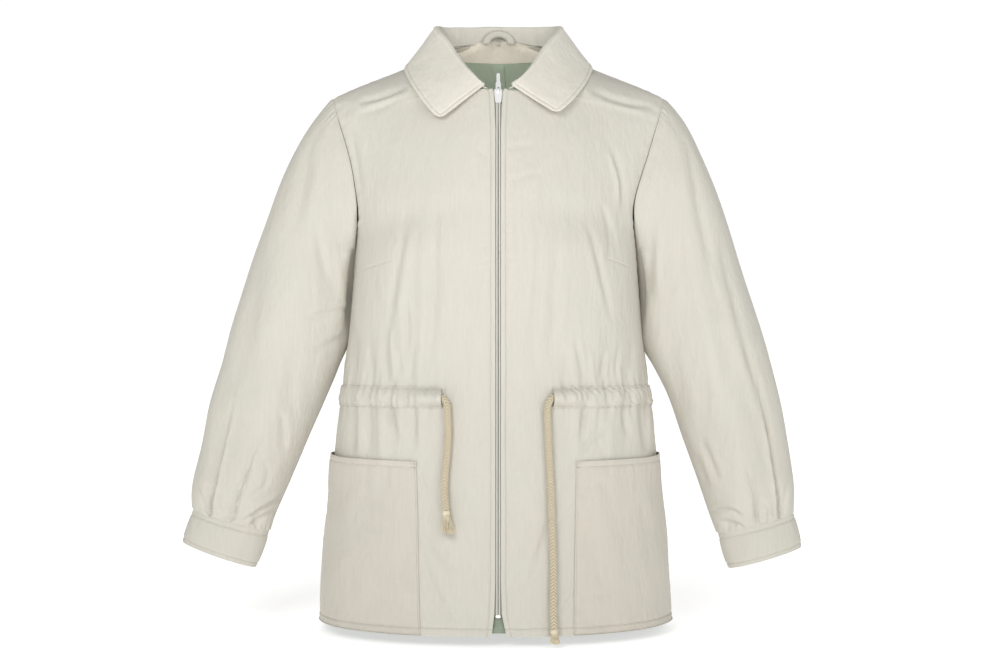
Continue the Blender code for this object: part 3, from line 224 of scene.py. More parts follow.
def camera():
    """The photo's view: level, and square to the front."""
    lens = bpy.data.cameras.new("photo_view")
    lens.lens, lens.sensor_width = CAMERA_LENS, SENSOR
    lens.clip_end = 60.0
    aim = (CAMERA_X, 0, CAMERA_Z)
    scene.camera = placed(lens, "photo_view", (CAMERA_X, -CAMERA_DISTANCE, CAMERA_Z), aim)


def softbox(name, location, aim, size, watts):
    """A square lamp, its size in millimetres."""
    light = bpy.data.lights.new(name, "AREA")
    light.size = size * MM
    light.energy = watts
    return placed(light, name, location, aim)


def graded(tree, source, target, **ends):
    """A value's range spread over another range, from one socket to another."""
    node = tree.nodes.new("ShaderNodeMapRange")
    tree.links.new(source, node.inputs["Value"])
    for name, value in ends.items():
        node.inputs[name.replace("_", " ")].default_value = value
    tree.links.new(node.outputs[0], target)


def white_room():
    """A world with a bright white wall behind the garment and dimmer walls before it and at its sides."""
    world = bpy.data.worlds.new("studio")
    scene.world = world
    world.use_nodes = True
    tree = world.node_tree
    place, parts = (tree.nodes.new("ShaderNode" + kind) for kind in ("TexCoord", "SeparateXYZ"))
    tree.links.new(place.outputs["Generated"], parts.inputs[0])
    background = tree.nodes["Background"]
    background.inputs["Color"].default_value = (1.0, 1.0, 1.0, 1.0)
    ends = dict(From_Min=0.6, From_Max=0.88, To_Min=ROOM_LIGHT, To_Max=WALL_LIGHT)
    graded(tree, parts.outputs["Y"], background.inputs["Strength"], **ends)


def studio():
    """White light all round, a soft key from above the camera, and a white floor that glows as painted light,
    so that it stays white beyond the lamps and the shadow under the hem stays soft.
    """
    white_room()
    softbox("key", (-700, -1950, 560), (0, 0, -320), 900, KEY_WATTS)
    softbox("fill", (1100, -1900, 300), (0, 0, -330), 1100, FILL_WATTS)
    neck = softbox("neck", (0, -1400, -420), (0, 50, 15), 400, NECK_WATTS)
    neck.light_linking.receiver_collection = bpy.data.collections.new("neck_inside")
    neck.light_linking.blocker_collection = bpy.data.collections.new("neck_blockers")
    scene.view_settings.view_transform = "Standard"
    near = [(-FLOOR_SIDE, FLOOR_NEAR), (FLOOR_SIDE, FLOOR_NEAR)]
    far = [(FLOOR_SIDE, FLOOR_FAR), (-FLOOR_SIDE, FLOOR_FAR)]
    mesh = bpy.data.meshes.new("floor")
    mesh.from_pydata([(x * MM, y * MM, FLOOR_Z * MM) for x, y in near + far], [], [(0, 1, 2, 3)])
    floor = placed(mesh, "floor")
    white = bpy.data.materials.new("floor_white_glowing")
    white.use_nodes = True
    shader = white.node_tree.nodes["Principled BSDF"]
    shader.inputs["Base Color"].default_value = (0.85, 0.85, 0.85, 1.0)
    shader.inputs["Emission Color"].default_value = (1.0, 1.0, 1.0, 1.0)
    tree = white.node_tree
    place, away = (tree.nodes.new("ShaderNode" + kind) for kind in ("TexCoord", "VectorMath"))
    away.operation = "LENGTH"
    tree.links.new(place.outputs["Object"], away.inputs[0])
    # painted light: the floor glows, fainter under the garment and stronger further out
    ends = dict(From_Min=0.82, From_Max=1.3, To_Min=FLOOR_GLOW, To_Max=FLOOR_GLOW_FAR)
    graded(tree, away.outputs["Value"], shader.inputs["Emission Strength"], **ends)
    shader.inputs["Roughness"].default_value = 1.0
    shader.inputs["Specular IOR Level"].default_value = 0.0
    mesh.materials.append(white)


# ----------------------------------------
# Curves and tables


def smooth(stations, values, at):
    """The rows of values at their stations, joined by smooth cubics and read at other stations."""
    t = np.asarray(stations, float)
    p = np.asarray(values, float).reshape(len(t), -1)
    s = np.atleast_1d(np.asarray(at, float))
    slope = np.gradient(p, t, axis=0)
    k = np.clip(np.searchsorted(t, s, side="right") - 1, 0, len(t) - 2)
    h = (t[k + 1] - t[k])[:, None]
    w = (s - t[k])[:, None] / h
    return (
        (2 * w**3 - 3 * w**2 + 1) * p[k]
        + (w**3 - 2 * w**2 + w) * h * slope[k]
        + (3 * w**2 - 2 * w**3) * p[k + 1]
        + (w**3 - w**2) * h * slope[k + 1]
    )


def cubic(start, start_pull, end_pull, end, t):
    """Points of a cubic whose handles are measured from its own ends."""
    a, d = np.asarray(start, float), np.asarray(end, float)
    b, c = a + np.asarray(start_pull, float), d + np.asarray(end_pull, float)
    t = np.asarray(t, float)[:, None]
    return (1 - t) ** 3 * a + 3 * (1 - t) ** 2 * t * b + 3 * (1 - t) * t**2 * c + t**3 * d


def ease(low, high, value):
    """0 at low, 1 at high, with level ends."""
    w = np.clip((np.asarray(value, float) - low) / (high - low), 0, 1)
    return w * w * (3 - 2 * w)


def unit(vectors):
    """The vectors at length 1."""
    length = np.linalg.norm(vectors, axis=-1, keepdims=True)
    return vectors / np.maximum(length, 1e-9)


def bump(value, width):
    """1 at 0, falling away over the width."""
    return np.exp(-((np.asarray(value, float) / width) ** 2))


def run(points):
    """The distance of each point along a line from its first."""
    return np.concatenate([[0], np.cumsum(np.linalg.norm(np.diff(points, axis=0), axis=1))])


def read(at, places, points):
    """A line of points, known at its places, read at other places."""
    return np.stack([np.interp(at, places, points[:, i]) for i in range(3)], axis=1)


def whole_turn(count):
    """Angles evenly spaced round a ring."""
    return np.linspace(0, 2 * math.pi, count, endpoint=False)


def ringed(angles, across, forward):
    """Ways out round a ring, from the way across it and the way forward."""
    return np.cos(angles)[:, None] * across + np.sin(angles)[:, None] * forward


# ----------------------------------------
# The body's surface, the same as the solids'


def leaned(points):
    """The body below the chest stands a little to the left, as in the photo."""
    points = np.array(points, float)
    share = np.clip(np.abs(points[..., 0]) / 180.0, 0, 1)
    points[..., 0] += LEAN * share * (1 - ease(LEAN_FROM, LEAN_TO, points[..., 2]))
    return points


def skirt_rows(heights, t, front):
    """Points of the body's sections at heights up to the armpit."""
    z_table = [s.z for s in SECTIONS]
    sizes = smooth(z_table, [(s.half_width, s.front, s.back) for s in SECTIONS], heights)
    rows = []
    for z, (half, depth_front, depth_back) in zip(heights, sizes):
        depth = -depth_front if front else depth_back
        inner = (EDGE if front else 0.0, depth, z)
        pulls = (ROUNDNESS * half, 0, 0), (0, ROUNDNESS * depth, 0)
        rows.append(cubic(inner, *pulls, (half, 0, z), t))
    return np.array(rows).reshape(len(rows), len(t), 3)


def chest_rows(table, neck, stations, t, front):
    """Points of a table's rows from the armpit up; below the neckline the centre runs straight."""
    armpit = skirt_rows([ARMPIT], t, front)[0]
    controls = np.array([armpit] + [cubic(*row, t) for row in table])
    at = np.arange(len(controls))
    flat = smooth(at, controls.reshape(len(controls), -1), stations)
    rows = flat.reshape(len(stations), len(t), 3)
    for row, station in zip(rows, stations):
        if station < neck:
            middle = np.interp(station, at, controls[:, 0, 0])
            row[:, 0] += (middle - row[0, 0]) * (1 - t) ** 2
    return rows


def body_grid(front, side, rows, t):
    """Points of a front or half the back at row places (counted from the hem) and cubic places t."""
    if front:
        table, neck, steps, neck_steps = FRONT_ROWS, FRONT_NECK_ROW, FRONT_STEPS, FRONT_NECK_STEPS
    else:
        table, neck, steps, neck_steps = BACK_ROWS, BACK_NECK_ROW, BACK_STEPS, BACK_NECK_STEPS
    up = np.linspace(0, neck, steps + 1)
    stations = np.concatenate([up, np.linspace(neck, len(table), neck_steps + 1)[1:]])
    rows = np.asarray(rows, float)
    low = rows[rows <= SKIRT_ROWS]
    high = rows[rows > SKIRT_ROWS] - SKIRT_ROWS
    parts = [skirt_rows(np.interp(low, np.arange(SKIRT_ROWS + 1), ROW_HEIGHTS), t, front)]
    if len(high):
        places = np.interp(high, np.arange(len(stations)), stations)
        parts.append(chest_rows(table, neck, places, t, front))
    grid = np.concatenate(parts)
    grid[..., 0] *= side
    grid = leaned(grid)
    if front:
        reach = SLIT_LEFT if side < 0 else SLIT_RIGHT
        slit = np.interp(rows, [0, 1, 2], [reach - EDGE, 1.3, 0.0])
        grid[..., 0] += side * slit[:, None] * np.exp(-t * 9)[None, :]
    return grid


FRONT_TOP = SKIRT_ROWS + FRONT_STEPS + FRONT_NECK_STEPS
BACK_TOP = SKIRT_ROWS + BACK_STEPS + BACK_NECK_STEPS


def coarse_body(front, side):
    """The points that the solids themselves have."""
    top = FRONT_TOP if front else BACK_TOP
    return body_grid(front, side, np.arange(top + 1), np.linspace(0, 1, COLUMNS + 1))


def spaced(end, step, *lines):
    """Places from 0 to end about a step apart, closer together round each named line."""
    places = list(np.linspace(0, end, int(round(end / step)) + 1))
    for line in lines:
        near = [p for p in places if abs(p - line) > 0.9 * step or p in (0, end)]
        places = near + [line + k * step * 0.22 for k in (-3, -1.5, -0.7, 0, 0.7, 1.5, 3)]
    return np.unique(np.clip(places, 0, end).round(6))


# ----------------------------------------
# Thin cloth from grids of points


def grid_normals(grid, around=False):
    """Unit normals of a grid; around joins its last column to its first."""
    if around:
        across = np.roll(grid, -1, axis=1) - np.roll(grid, 1, axis=1)
    else:
        across = np.gradient(grid, axis=1)
    return unit(np.cross(across, np.gradient(grid, axis=0)))


def outward(grid, centre, around=False, split=None):
    """The grid's normals, turned away from a centre."""
    if split is None:
        normals = grid_normals(grid, around)
    else:
        halves = [grid_normals(half) for half in (grid[:, : split + 1], grid[:, split + 1 :])]
        normals = np.concatenate(halves, axis=1)
        same = np.linalg.norm(grid[:, split] - grid[:, split + 1], axis=1) < 1e-6
        common = unit(normals[same, split] + normals[same, split + 1])
        normals[same, split] = normals[same, split + 1] = common
    if (normals * (grid - np.asarray(centre, float))).sum() < 0:
        normals = -normals
    return normals


def lengths(grid, axis):
    """Distance along a grid's lines from their start."""
    steps = np.linalg.norm(np.diff(grid, axis=axis), axis=-1)
    return np.cumsum(np.insert(steps, 0, 0, axis=axis), axis=axis)


def both_ways(grid, axis):
    """Distance along a grid's lines from their start, and on to their end."""
    along = lengths(grid, axis)
    return along, along.take([-1], axis) - along


def grid_quads(grid, around=False, split=None):
    """Quads over a grid. At a split column the cloth is one piece only where both columns meet."""
    rows, columns = grid.shape[:2]
    index = np.arange(rows * columns).reshape(rows, columns)
    if split is not None:
        same = np.linalg.norm(grid[:, split] - grid[:, split + 1], axis=1) < 1e-6
        index[same, split + 1] = index[same, split]
    right = np.roll(index, -1, axis=1)
    quads = np.stack([index[:-1], right[:-1], right[1:], index[1:]], axis=-1)
    keep = np.ones(quads.shape[:2], bool)
    if not around:
        keep[:, -1] = False
    if split is not None:
        keep[:, split] = False
    return quads[keep]


def turned_to(quads, points, normals):
    """The quads, turned so that they face the way of the normals."""
    a, b, e = (points[quads[:, i]] for i in (0, 1, 3))
    facing = (np.cross(b - a, e - a) * normals[quads[:, 0]]).sum()
    return quads if facing > 0 else quads[:, ::-1]


def shell(name, grid, normals, thickness, outer, inner=None, around=False, split=None):
    """A closed thin wall: the grid is its good side, and its other side lies a thickness behind."""
    rows, columns = grid.shape[:2]
    count = rows * columns
    points = np.concatenate([grid.reshape(-1, 3), (grid - normals * thickness).reshape(-1, 3)])
    quads = turned_to(grid_quads(grid, around, split), points, normals.reshape(-1, 3))
    rim = rim_quads(quads, count)
    faces = np.concatenate([quads, quads[:, ::-1] + count, rim])
    slots = np.repeat([0, 1, 0], [len(quads), len(quads), len(rim)])
    u = np.mean(lengths(grid, 1), axis=0)
    v = np.mean(lengths(grid, 0), axis=1)
    uv = np.stack(np.meshgrid(u, v), axis=-1).reshape(-1, 2) * MM
    corner_uv = np.concatenate([uv, uv])[faces].copy()
    if around:
        column = faces % columns
        wraps = (column == 0).any(axis=1) & (column == columns - 1).any(axis=1)
        corner_uv[(column == 0) & wraps[:, None], 0] = (u[-1] + u[1]) * MM
    used, faces = np.unique(faces, return_inverse=True)
    faces = faces.reshape(-1, 4)
    mesh = bpy.data.meshes.new(name)
    mesh.from_pydata((points[used] * MM).tolist(), [], faces.tolist())
    mesh.uv_layers.new(name="grain").data.foreach_set("uv", corner_uv.ravel())
    mesh.materials.append(outer)
    mesh.materials.append(inner or outer)
    mesh.polygons.foreach_set("material_index", slots)
    return finished(name, mesh)


def rim_quads(quads, count):
    """Quads that close the free edges between a sheet and its copy."""
    edges = np.concatenate([quads[:, [i, (i + 1) % 4]] for i in range(4)])
    keys = np.sort(edges, axis=1)
    _, index, number = np.unique(keys, axis=0, return_index=True, return_counts=True)
    free = edges[index[number == 1]]
    return np.stack([free[:, 1], free[:, 0], free[:, 0] + count, free[:, 1] + count], axis=1)


def finished(name, mesh, smooth_angle=50):
    """The mesh as a smooth object, with its folds over an angle in degrees kept sharp."""
    mesh.validate()
    mesh.shade_smooth()
    mesh.set_sharp_from_angle(angle=math.radians(smooth_angle))
    obj = bpy.data.objects.new(name, mesh)
    scene.collection.objects.link(obj)
    return obj


def plain_mesh(name, points, faces, cloth, smooth_angle=50):
    """A mesh from points in millimetres, in one material."""
    mesh = bpy.data.meshes.new(name)
    mesh.from_pydata((np.asarray(points) * MM).tolist(), [], [tuple(f) for f in faces])
    mesh.materials.append(cloth)
    return finished(name, mesh, smooth_angle)


# ----------------------------------------
# Creases and soft folds

# A crease as seen from the front: its two ends, how far its middle bows to the left of the way from the
# first end to the second, its depth (below 0 is a trough), its half width, and the share of a ridge that
# stands beside it, on the left (+) or the right (-)


def creased(grid, normals, table, facing):
    """How far the creases of a table move each point along its normal."""
    total = np.zeros(grid.shape[:2])
    shown = ease(0.05, 0.35, normals[..., 1] * facing)
    for x0, z0, x1, z1, bow, depth, width, ridge in table:
        start = np.array([x0, z0], float)
        way = np.array([x1, z1], float) - start
        long = np.linalg.norm(way)
        way = way / long
        left = np.array([-way[1], way[0]])
        place = grid[..., [0, 2]] - start
        along = (place @ way) / long
        inside = np.clip(along, 0, 1)
        across = place @ left - bow * 4 * inside * (1 - inside)
        side = math.copysign(1, ridge)
        form = bump(across, width) - abs(ridge) * bump(across - side * 1.7 * width, 1.25 * width)
        total += depth * np.sin(math.pi * inside) ** 0.7 * form
    return total * shown


def undulation(grid, seed, size, depth):
    """Low swells of no fixed direction, the same each run."""
    total = np.zeros(grid.shape[:2])
    for k in range(7):
        a = seed + 2.399 * k
        way = np.array([math.cos(a) * 1.25, math.sin(a * 1.7) * 0.8, math.sin(a) * 0.75])
        wave = 2 * math.pi / (size * (0.7 + 0.17 * k))
        bend = 0.9 * np.sin((grid @ way[[2, 0, 1]]) * wave * 0.53 + a)
        total += np.sin((grid @ way) * wave + bend + a * 3.1)
    return total * depth / 3.0


def puckers(along, away, pitch, reach, depth, seed, lean=0.0):
    """Small uneven gathers across a seam, strongest at its line."""
    s = along + lean * away
    wave = np.sin(2 * math.pi * s / pitch + 1.7 * np.sin(s / (2.7 * pitch) + seed) + seed)
    drift = 2.1 * np.sin(s / (4.1 * pitch) + 2.3 * seed)
    wave = wave + 0.6 * np.sin(2 * math.pi * s / (1.73 * pitch) + drift)
    far = reach * (1 + 0.4 * np.sin(s / (1.9 * pitch) + seed))
    strong = 0.65 + 0.35 * np.sin(s / (5.3 * pitch) + 3.1 * seed)
    return depth * wave * strong * np.exp(-((away / far) ** 2))


# ----------------------------------------
# Materials


WEAVE_PERIOD_FACTOR = 0.314  # a wave node's scale for one thread a millimetre
WEAVE_RELIEF = 0.25


class Nodes:
    """Short calls for building a material's nodes."""

    def __init__(self, name):
        self.material = bpy.data.materials.new(name)
        self.material.use_nodes = True
        self.tree = self.material.node_tree
        self.shader = self.tree.nodes["Principled BSDF"]

    def give(self, slot, value):
        """Link another node's output to a socket, or set the socket's own value."""
        if isinstance(value, bpy.types.NodeSocket):
            self.tree.links.new(value, slot)
        else:
            slot.default_value = value

    def add(self, kind, **inputs):
        node = self.tree.nodes.new("ShaderNode" + kind)
        for key, value in inputs.items():
            self.give(node.inputs[key.replace("_", " ")], value)
        return node

    def base(self, colour):
        self.give(self.shader.inputs["Base Color"], colour)

    def place(self, kind):
        return self.add("TexCoord").outputs[kind]

    def noise(self, scale, detail, stretch=(1, 1, 1)):
        vector = self.add("Mapping", Vector=self.place("Object"), Scale=stretch).outputs[0]
        return self.add("TexNoise", Vector=vector, Scale=scale, Detail=detail).outputs["Fac"]

    def waves(self, period, direction):
        node = self.add("TexWave", Vector=self.place("UV"), Scale=WEAVE_PERIOD_FACTOR / period)
        node.wave_type = "BANDS"
        node.bands_direction = direction
        return node.outputs["Fac"]

    def math(self, operation, a, b=0.0):
        node = self.tree.nodes.new("ShaderNodeMath")
        node.operation = operation
        for slot, value in zip(node.inputs, (a, b)):
            self.give(slot, value)
        return node.outputs[0]

    def mix(self, share, low, high):
        node = self.tree.nodes.new("ShaderNodeMix")
        node.data_type = "RGBA"
        for slot, value in zip((0, 6, 7), (share, low, high)):
            self.give(node.inputs[slot], (*value, 1.0) if isinstance(value, tuple) else value)
        return node.outputs[2]

    def stretch(self, value, low, high):
        """The value's range low to high, spread over 0 to 1."""
        return self.add("MapRange", Value=value, From_Min=low, From_Max=high).outputs[0]

    def bump(self, height, strength, distance, under=None):
        node = self.add("Bump", Height=height, Strength=strength, Distance=distance)
        if under is not None:
            self.give(node.inputs["Normal"], under)
        self.give(self.shader.inputs["Normal"], node.outputs[0])

    def settings(self, **inputs):
        for key, value in inputs.items():
            self.shader.inputs[key.replace("_", " ")].default_value = value
        return self.material


def woven(name, colour, warm, cool, period, roughness, sheen):
    """Plain-weave cloth: crossed threads, slubs, and large patches that drift a little in colour."""
    n = Nodes(name)
    patches = n.stretch(n.noise(16.0, 2.0), 0.35, 0.65)
    drift = n.mix(patches, warm, cool)
    fibres = n.stretch(n.noise(900.0, 3.0, stretch=(1, 1, 0.35)), 0.3, 0.7)
    base = n.mix(n.math("MULTIPLY", fibres, 0.35), colour, drift)
    streaks = n.stretch(n.noise(420.0, 2.0, stretch=(1, 1, 0.035)), 0.35, 0.65)
    base = n.mix(n.math("MULTIPLY", streaks, 0.16), base, tuple(0.8 * c for c in colour))
    threads = n.math("ADD", n.waves(period, "X"), n.waves(period * 1.12, "Y"))
    shade = n.stretch(threads, -0.6, 2.2)
    n.base(n.mix(n.math("MULTIPLY", shade, 0.06), base, (1.0, 0.99, 0.95)))
    small = n.math("MULTIPLY", n.noise(170.0, 2.0, stretch=(1.2, 1.0, 0.6)), 0.3)
    crumple = n.math("ADD", n.noise(42.0, 2.0, stretch=(1.5, 1.0, 0.5)), small)
    soft = n.add("Bump", Height=crumple, Strength=1.0, Distance=0.0021).outputs[0]
    slubs = n.noise(2200.0, 2.0)
    n.bump(n.math("ADD", threads, slubs), WEAVE_RELIEF, 0.0002, soft)
    return n.settings(Roughness=roughness, Sheen_Weight=sheen, Sheen_Roughness=0.5, Specular_IOR_Level=0.22)


def braid_material(name, light, dark):
    """Cotton braid: each strand has a painted highlight on its crown and painted shade where it dives under
    the next.
    """
    n = Nodes(name)
    parts = n.add("SeparateXYZ", Vector=n.place("UV"))
    column = n.math("MULTIPLY", parts.outputs[0], float(BRAID_COLUMNS))
    fold = n.math("MULTIPLY", n.math("PINGPONG", column, 0.5), 2.0)
    flip = n.math("SIGN", n.math("COSINE", n.math("MULTIPLY", column, math.pi)))
    turn = n.math("MULTIPLY", n.math("MULTIPLY", fold, flip), BRAID_SLANT)
    turn = n.math("ADD", turn, n.math("DIVIDE", parts.outputs[1], BRAID_PITCH * MM))
    wave = n.math("COSINE", n.math("MULTIPLY", turn, 2 * math.pi))
    fibres = n.math("MULTIPLY", n.noise(1400.0, 3.0), 0.7)
    share = n.stretch(n.math("ADD", wave, fibres), -0.55, 0.75)
    n.base(n.mix(share, dark, light))
    n.bump(n.noise(2600.0, 2.0), 0.4, 0.0003)
    return n.settings(Roughness=0.85, Sheen_Weight=0.2, Specular_IOR_Level=0.2)


def yarn_material(name, colour, dark):
    """Cotton thread: fine fibres and faint darker patches."""
    n = Nodes(name)
    fibres = n.stretch(n.noise(1500.0, 3.0), 0.3, 0.7)
    patches = n.stretch(n.noise(60.0, 2.0), 0.35, 0.65)
    tone = n.mix(n.math("MULTIPLY", fibres, 0.6), colour, dark)
    n.base(n.mix(n.math("MULTIPLY", patches, 0.3), tone, colour))
    n.bump(n.noise(2600.0, 2.0), 0.4, 0.0003)
    return n.settings(Roughness=0.85, Sheen_Weight=0.25, Specular_IOR_Level=0.2)


def metal_material(name, colour, roughness):
    """Bright metal, duller where it is worn."""
    n = Nodes(name)
    wear = n.stretch(n.noise(700.0, 4.0), 0.35, 0.75)
    n.base(n.mix(n.math("MULTIPLY", wear, 0.35), colour, (0.42, 0.42, 0.43)))
    rough = n.add("MapRange", Value=wear, To_Min=roughness, To_Max=roughness + 0.2)
    n.give(n.shader.inputs["Roughness"], rough.outputs[0])
    n.bump(n.noise(1400.0, 2.0), 0.08, 0.0003)
    return n.settings(Metallic=0.5)


def carried(obj, replaced=None):
    """The object as a piece of the jacket: the body it rides on, and the node it stands for."""
    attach(obj, BODY)
    if replaced:
        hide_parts(replaced)
    return obj


# ----------------------------------------
# Stitches

STITCH_PITCH, STITCH_LENGTH, STITCH_WIDTH, STITCH_HEIGHT = 3.0, 2.3, 0.8, 0.34


def line_across(grid, normals, distance, axis, from_end=False):
    """The line at a distance from a grid's edge: axis 1 measures along each row, 0 along each column."""
    if axis == 0:
        grid, normals = np.swapaxes(grid, 0, 1), np.swapaxes(normals, 0, 1)
    if from_end:
        grid, normals = grid[:, ::-1], normals[:, ::-1]
    along = lengths(grid, 1)
    at = [distance]
    points = [read(at, place, row)[0] for row, place in zip(grid, along)]
    ways = [read(at, place, normal)[0] for normal, place in zip(normals, along)]
    return np.array(points), unit(np.array(ways))


def resampled(points, ways, pitch):
    """Evenly spaced points of a line, with the ways out of the cloth at them."""
    along = run(points)
    count = max(int(along[-1] / pitch), 2)
    at = np.linspace(0, along[-1], count + 1)
    return read(at, along, points), unit(read(at, along, ways))


def stitches(name, lines, thread, pitch=STITCH_PITCH):
    """Rows of thread, one long bead for each stitch, lying in the cloth."""
    points, faces = [], []
    for line, ways in lines:
        spots, up = resampled(line, ways, pitch)
        for k in range(len(spots) - 1):
            centre = (spots[k] + spots[k + 1]) / 2 + up[k] * 0.04
            along = unit(spots[k + 1] - spots[k])
            wide = unit(np.cross(up[k], along))
            long = min(STITCH_LENGTH, pitch * 0.8) / 2
            base = len(points)
            points += [
                centre - along * long,
                centre + wide * STITCH_WIDTH / 2,
                centre + along * long,
                centre - wide * STITCH_WIDTH / 2,
                centre + up[k] * STITCH_HEIGHT,
                centre - up[k] * STITCH_HEIGHT,
            ]
            for i in range(4):
                a, b = base + i, base + (i + 1) % 4
                faces += [(a, b, base + 4), (b, a, base + 5)]
    return carried(plain_mesh(name, points, faces, thread))


def groove(distance, depth=1.1, width=1.3):
    """The dip that a row of stitches pulls into the cloth."""
    return -depth * bump(distance, width)


# ----------------------------------------
# Fronts and back

HEM_STITCH = 9.5
EDGE_STITCH = 6.0
SHELL_WALL = 1.1
SEAM_DIP, SEAM_WIDTH = 0.8, 2.6
WAIST = -425.5
BODY_MIDDLE = (0, 0, -350)  # the body's cloth faces away from here


def cloth_piece(obj, replaced):
    """The cloth carried on the body, in place of its solid."""
    carried(obj, replaced)


def rows_eased(grid, height, reach, weight):
    """The grid with its rows run smooth round one height, where the skirt meets the chest."""
    soft = grid.copy()
    for _ in range(60):
        soft[1:-1] = (soft[:-2] + 2 * soft[1:-1] + soft[2:]) / 4
    share = bump(grid[..., 2] - height, reach) * weight
    return grid * (1 - share[..., None]) + soft * share[..., None]


def waist_flutes(grid, table):
    """Upright folds that the drawn cord leaves above and below the casing."""
    total = np.zeros(grid.shape[:2])
    x, z = grid[..., 0], grid[..., 2]
    away = np.abs(z - WAIST)
    for middle, depth, width, up, down, drift in table:
        reach = np.where(z > WAIST, up, down)
        across = x - middle - drift * np.where(z > WAIST, 1, -1) * away / 60.0
        total += 1.5 * depth * bump(across, 0.72 * width * (1 + away / 110.0)) * bump(away, reach)
    return total


# Each flute's x, depth, half width, reach above and below the waist, and drift to the side
FLUTES_FRONT = (
    (-182, -1.6, 6, 40, 60, 0), (-170, 1.3, 7, 50, 55, 1), (-157, -1.8, 6, 45, 60, 0),
    (-143, 1.4, 7, 40, 50, -2), (-131, -1.5, 6, 55, 55, -3), (-119, 1.5, 6, 60, 50, 2),
    (-108, -1.4, 6, 45, 60, -3), (-92, 1.2, 8, 40, 60, 0), (-78, -1, 7, 40, 60, 1),
    (184, -1.6, 6, 40, 60, 0), (172, 1.4, 7, 45, 60, 0), (158, -1.8, 6, 50, 60, 2),
    (146, 1.3, 7, 40, 55, 1), (133, -1.5, 6, 50, 50, 2), (121, 1.4, 7, 55, 60, -1),
    (107, -1.5, 6, 40, 60, 2), (94, 1.2, 7, 50, 55, 0), (80, -1, 7, 45, 60, -1),
)

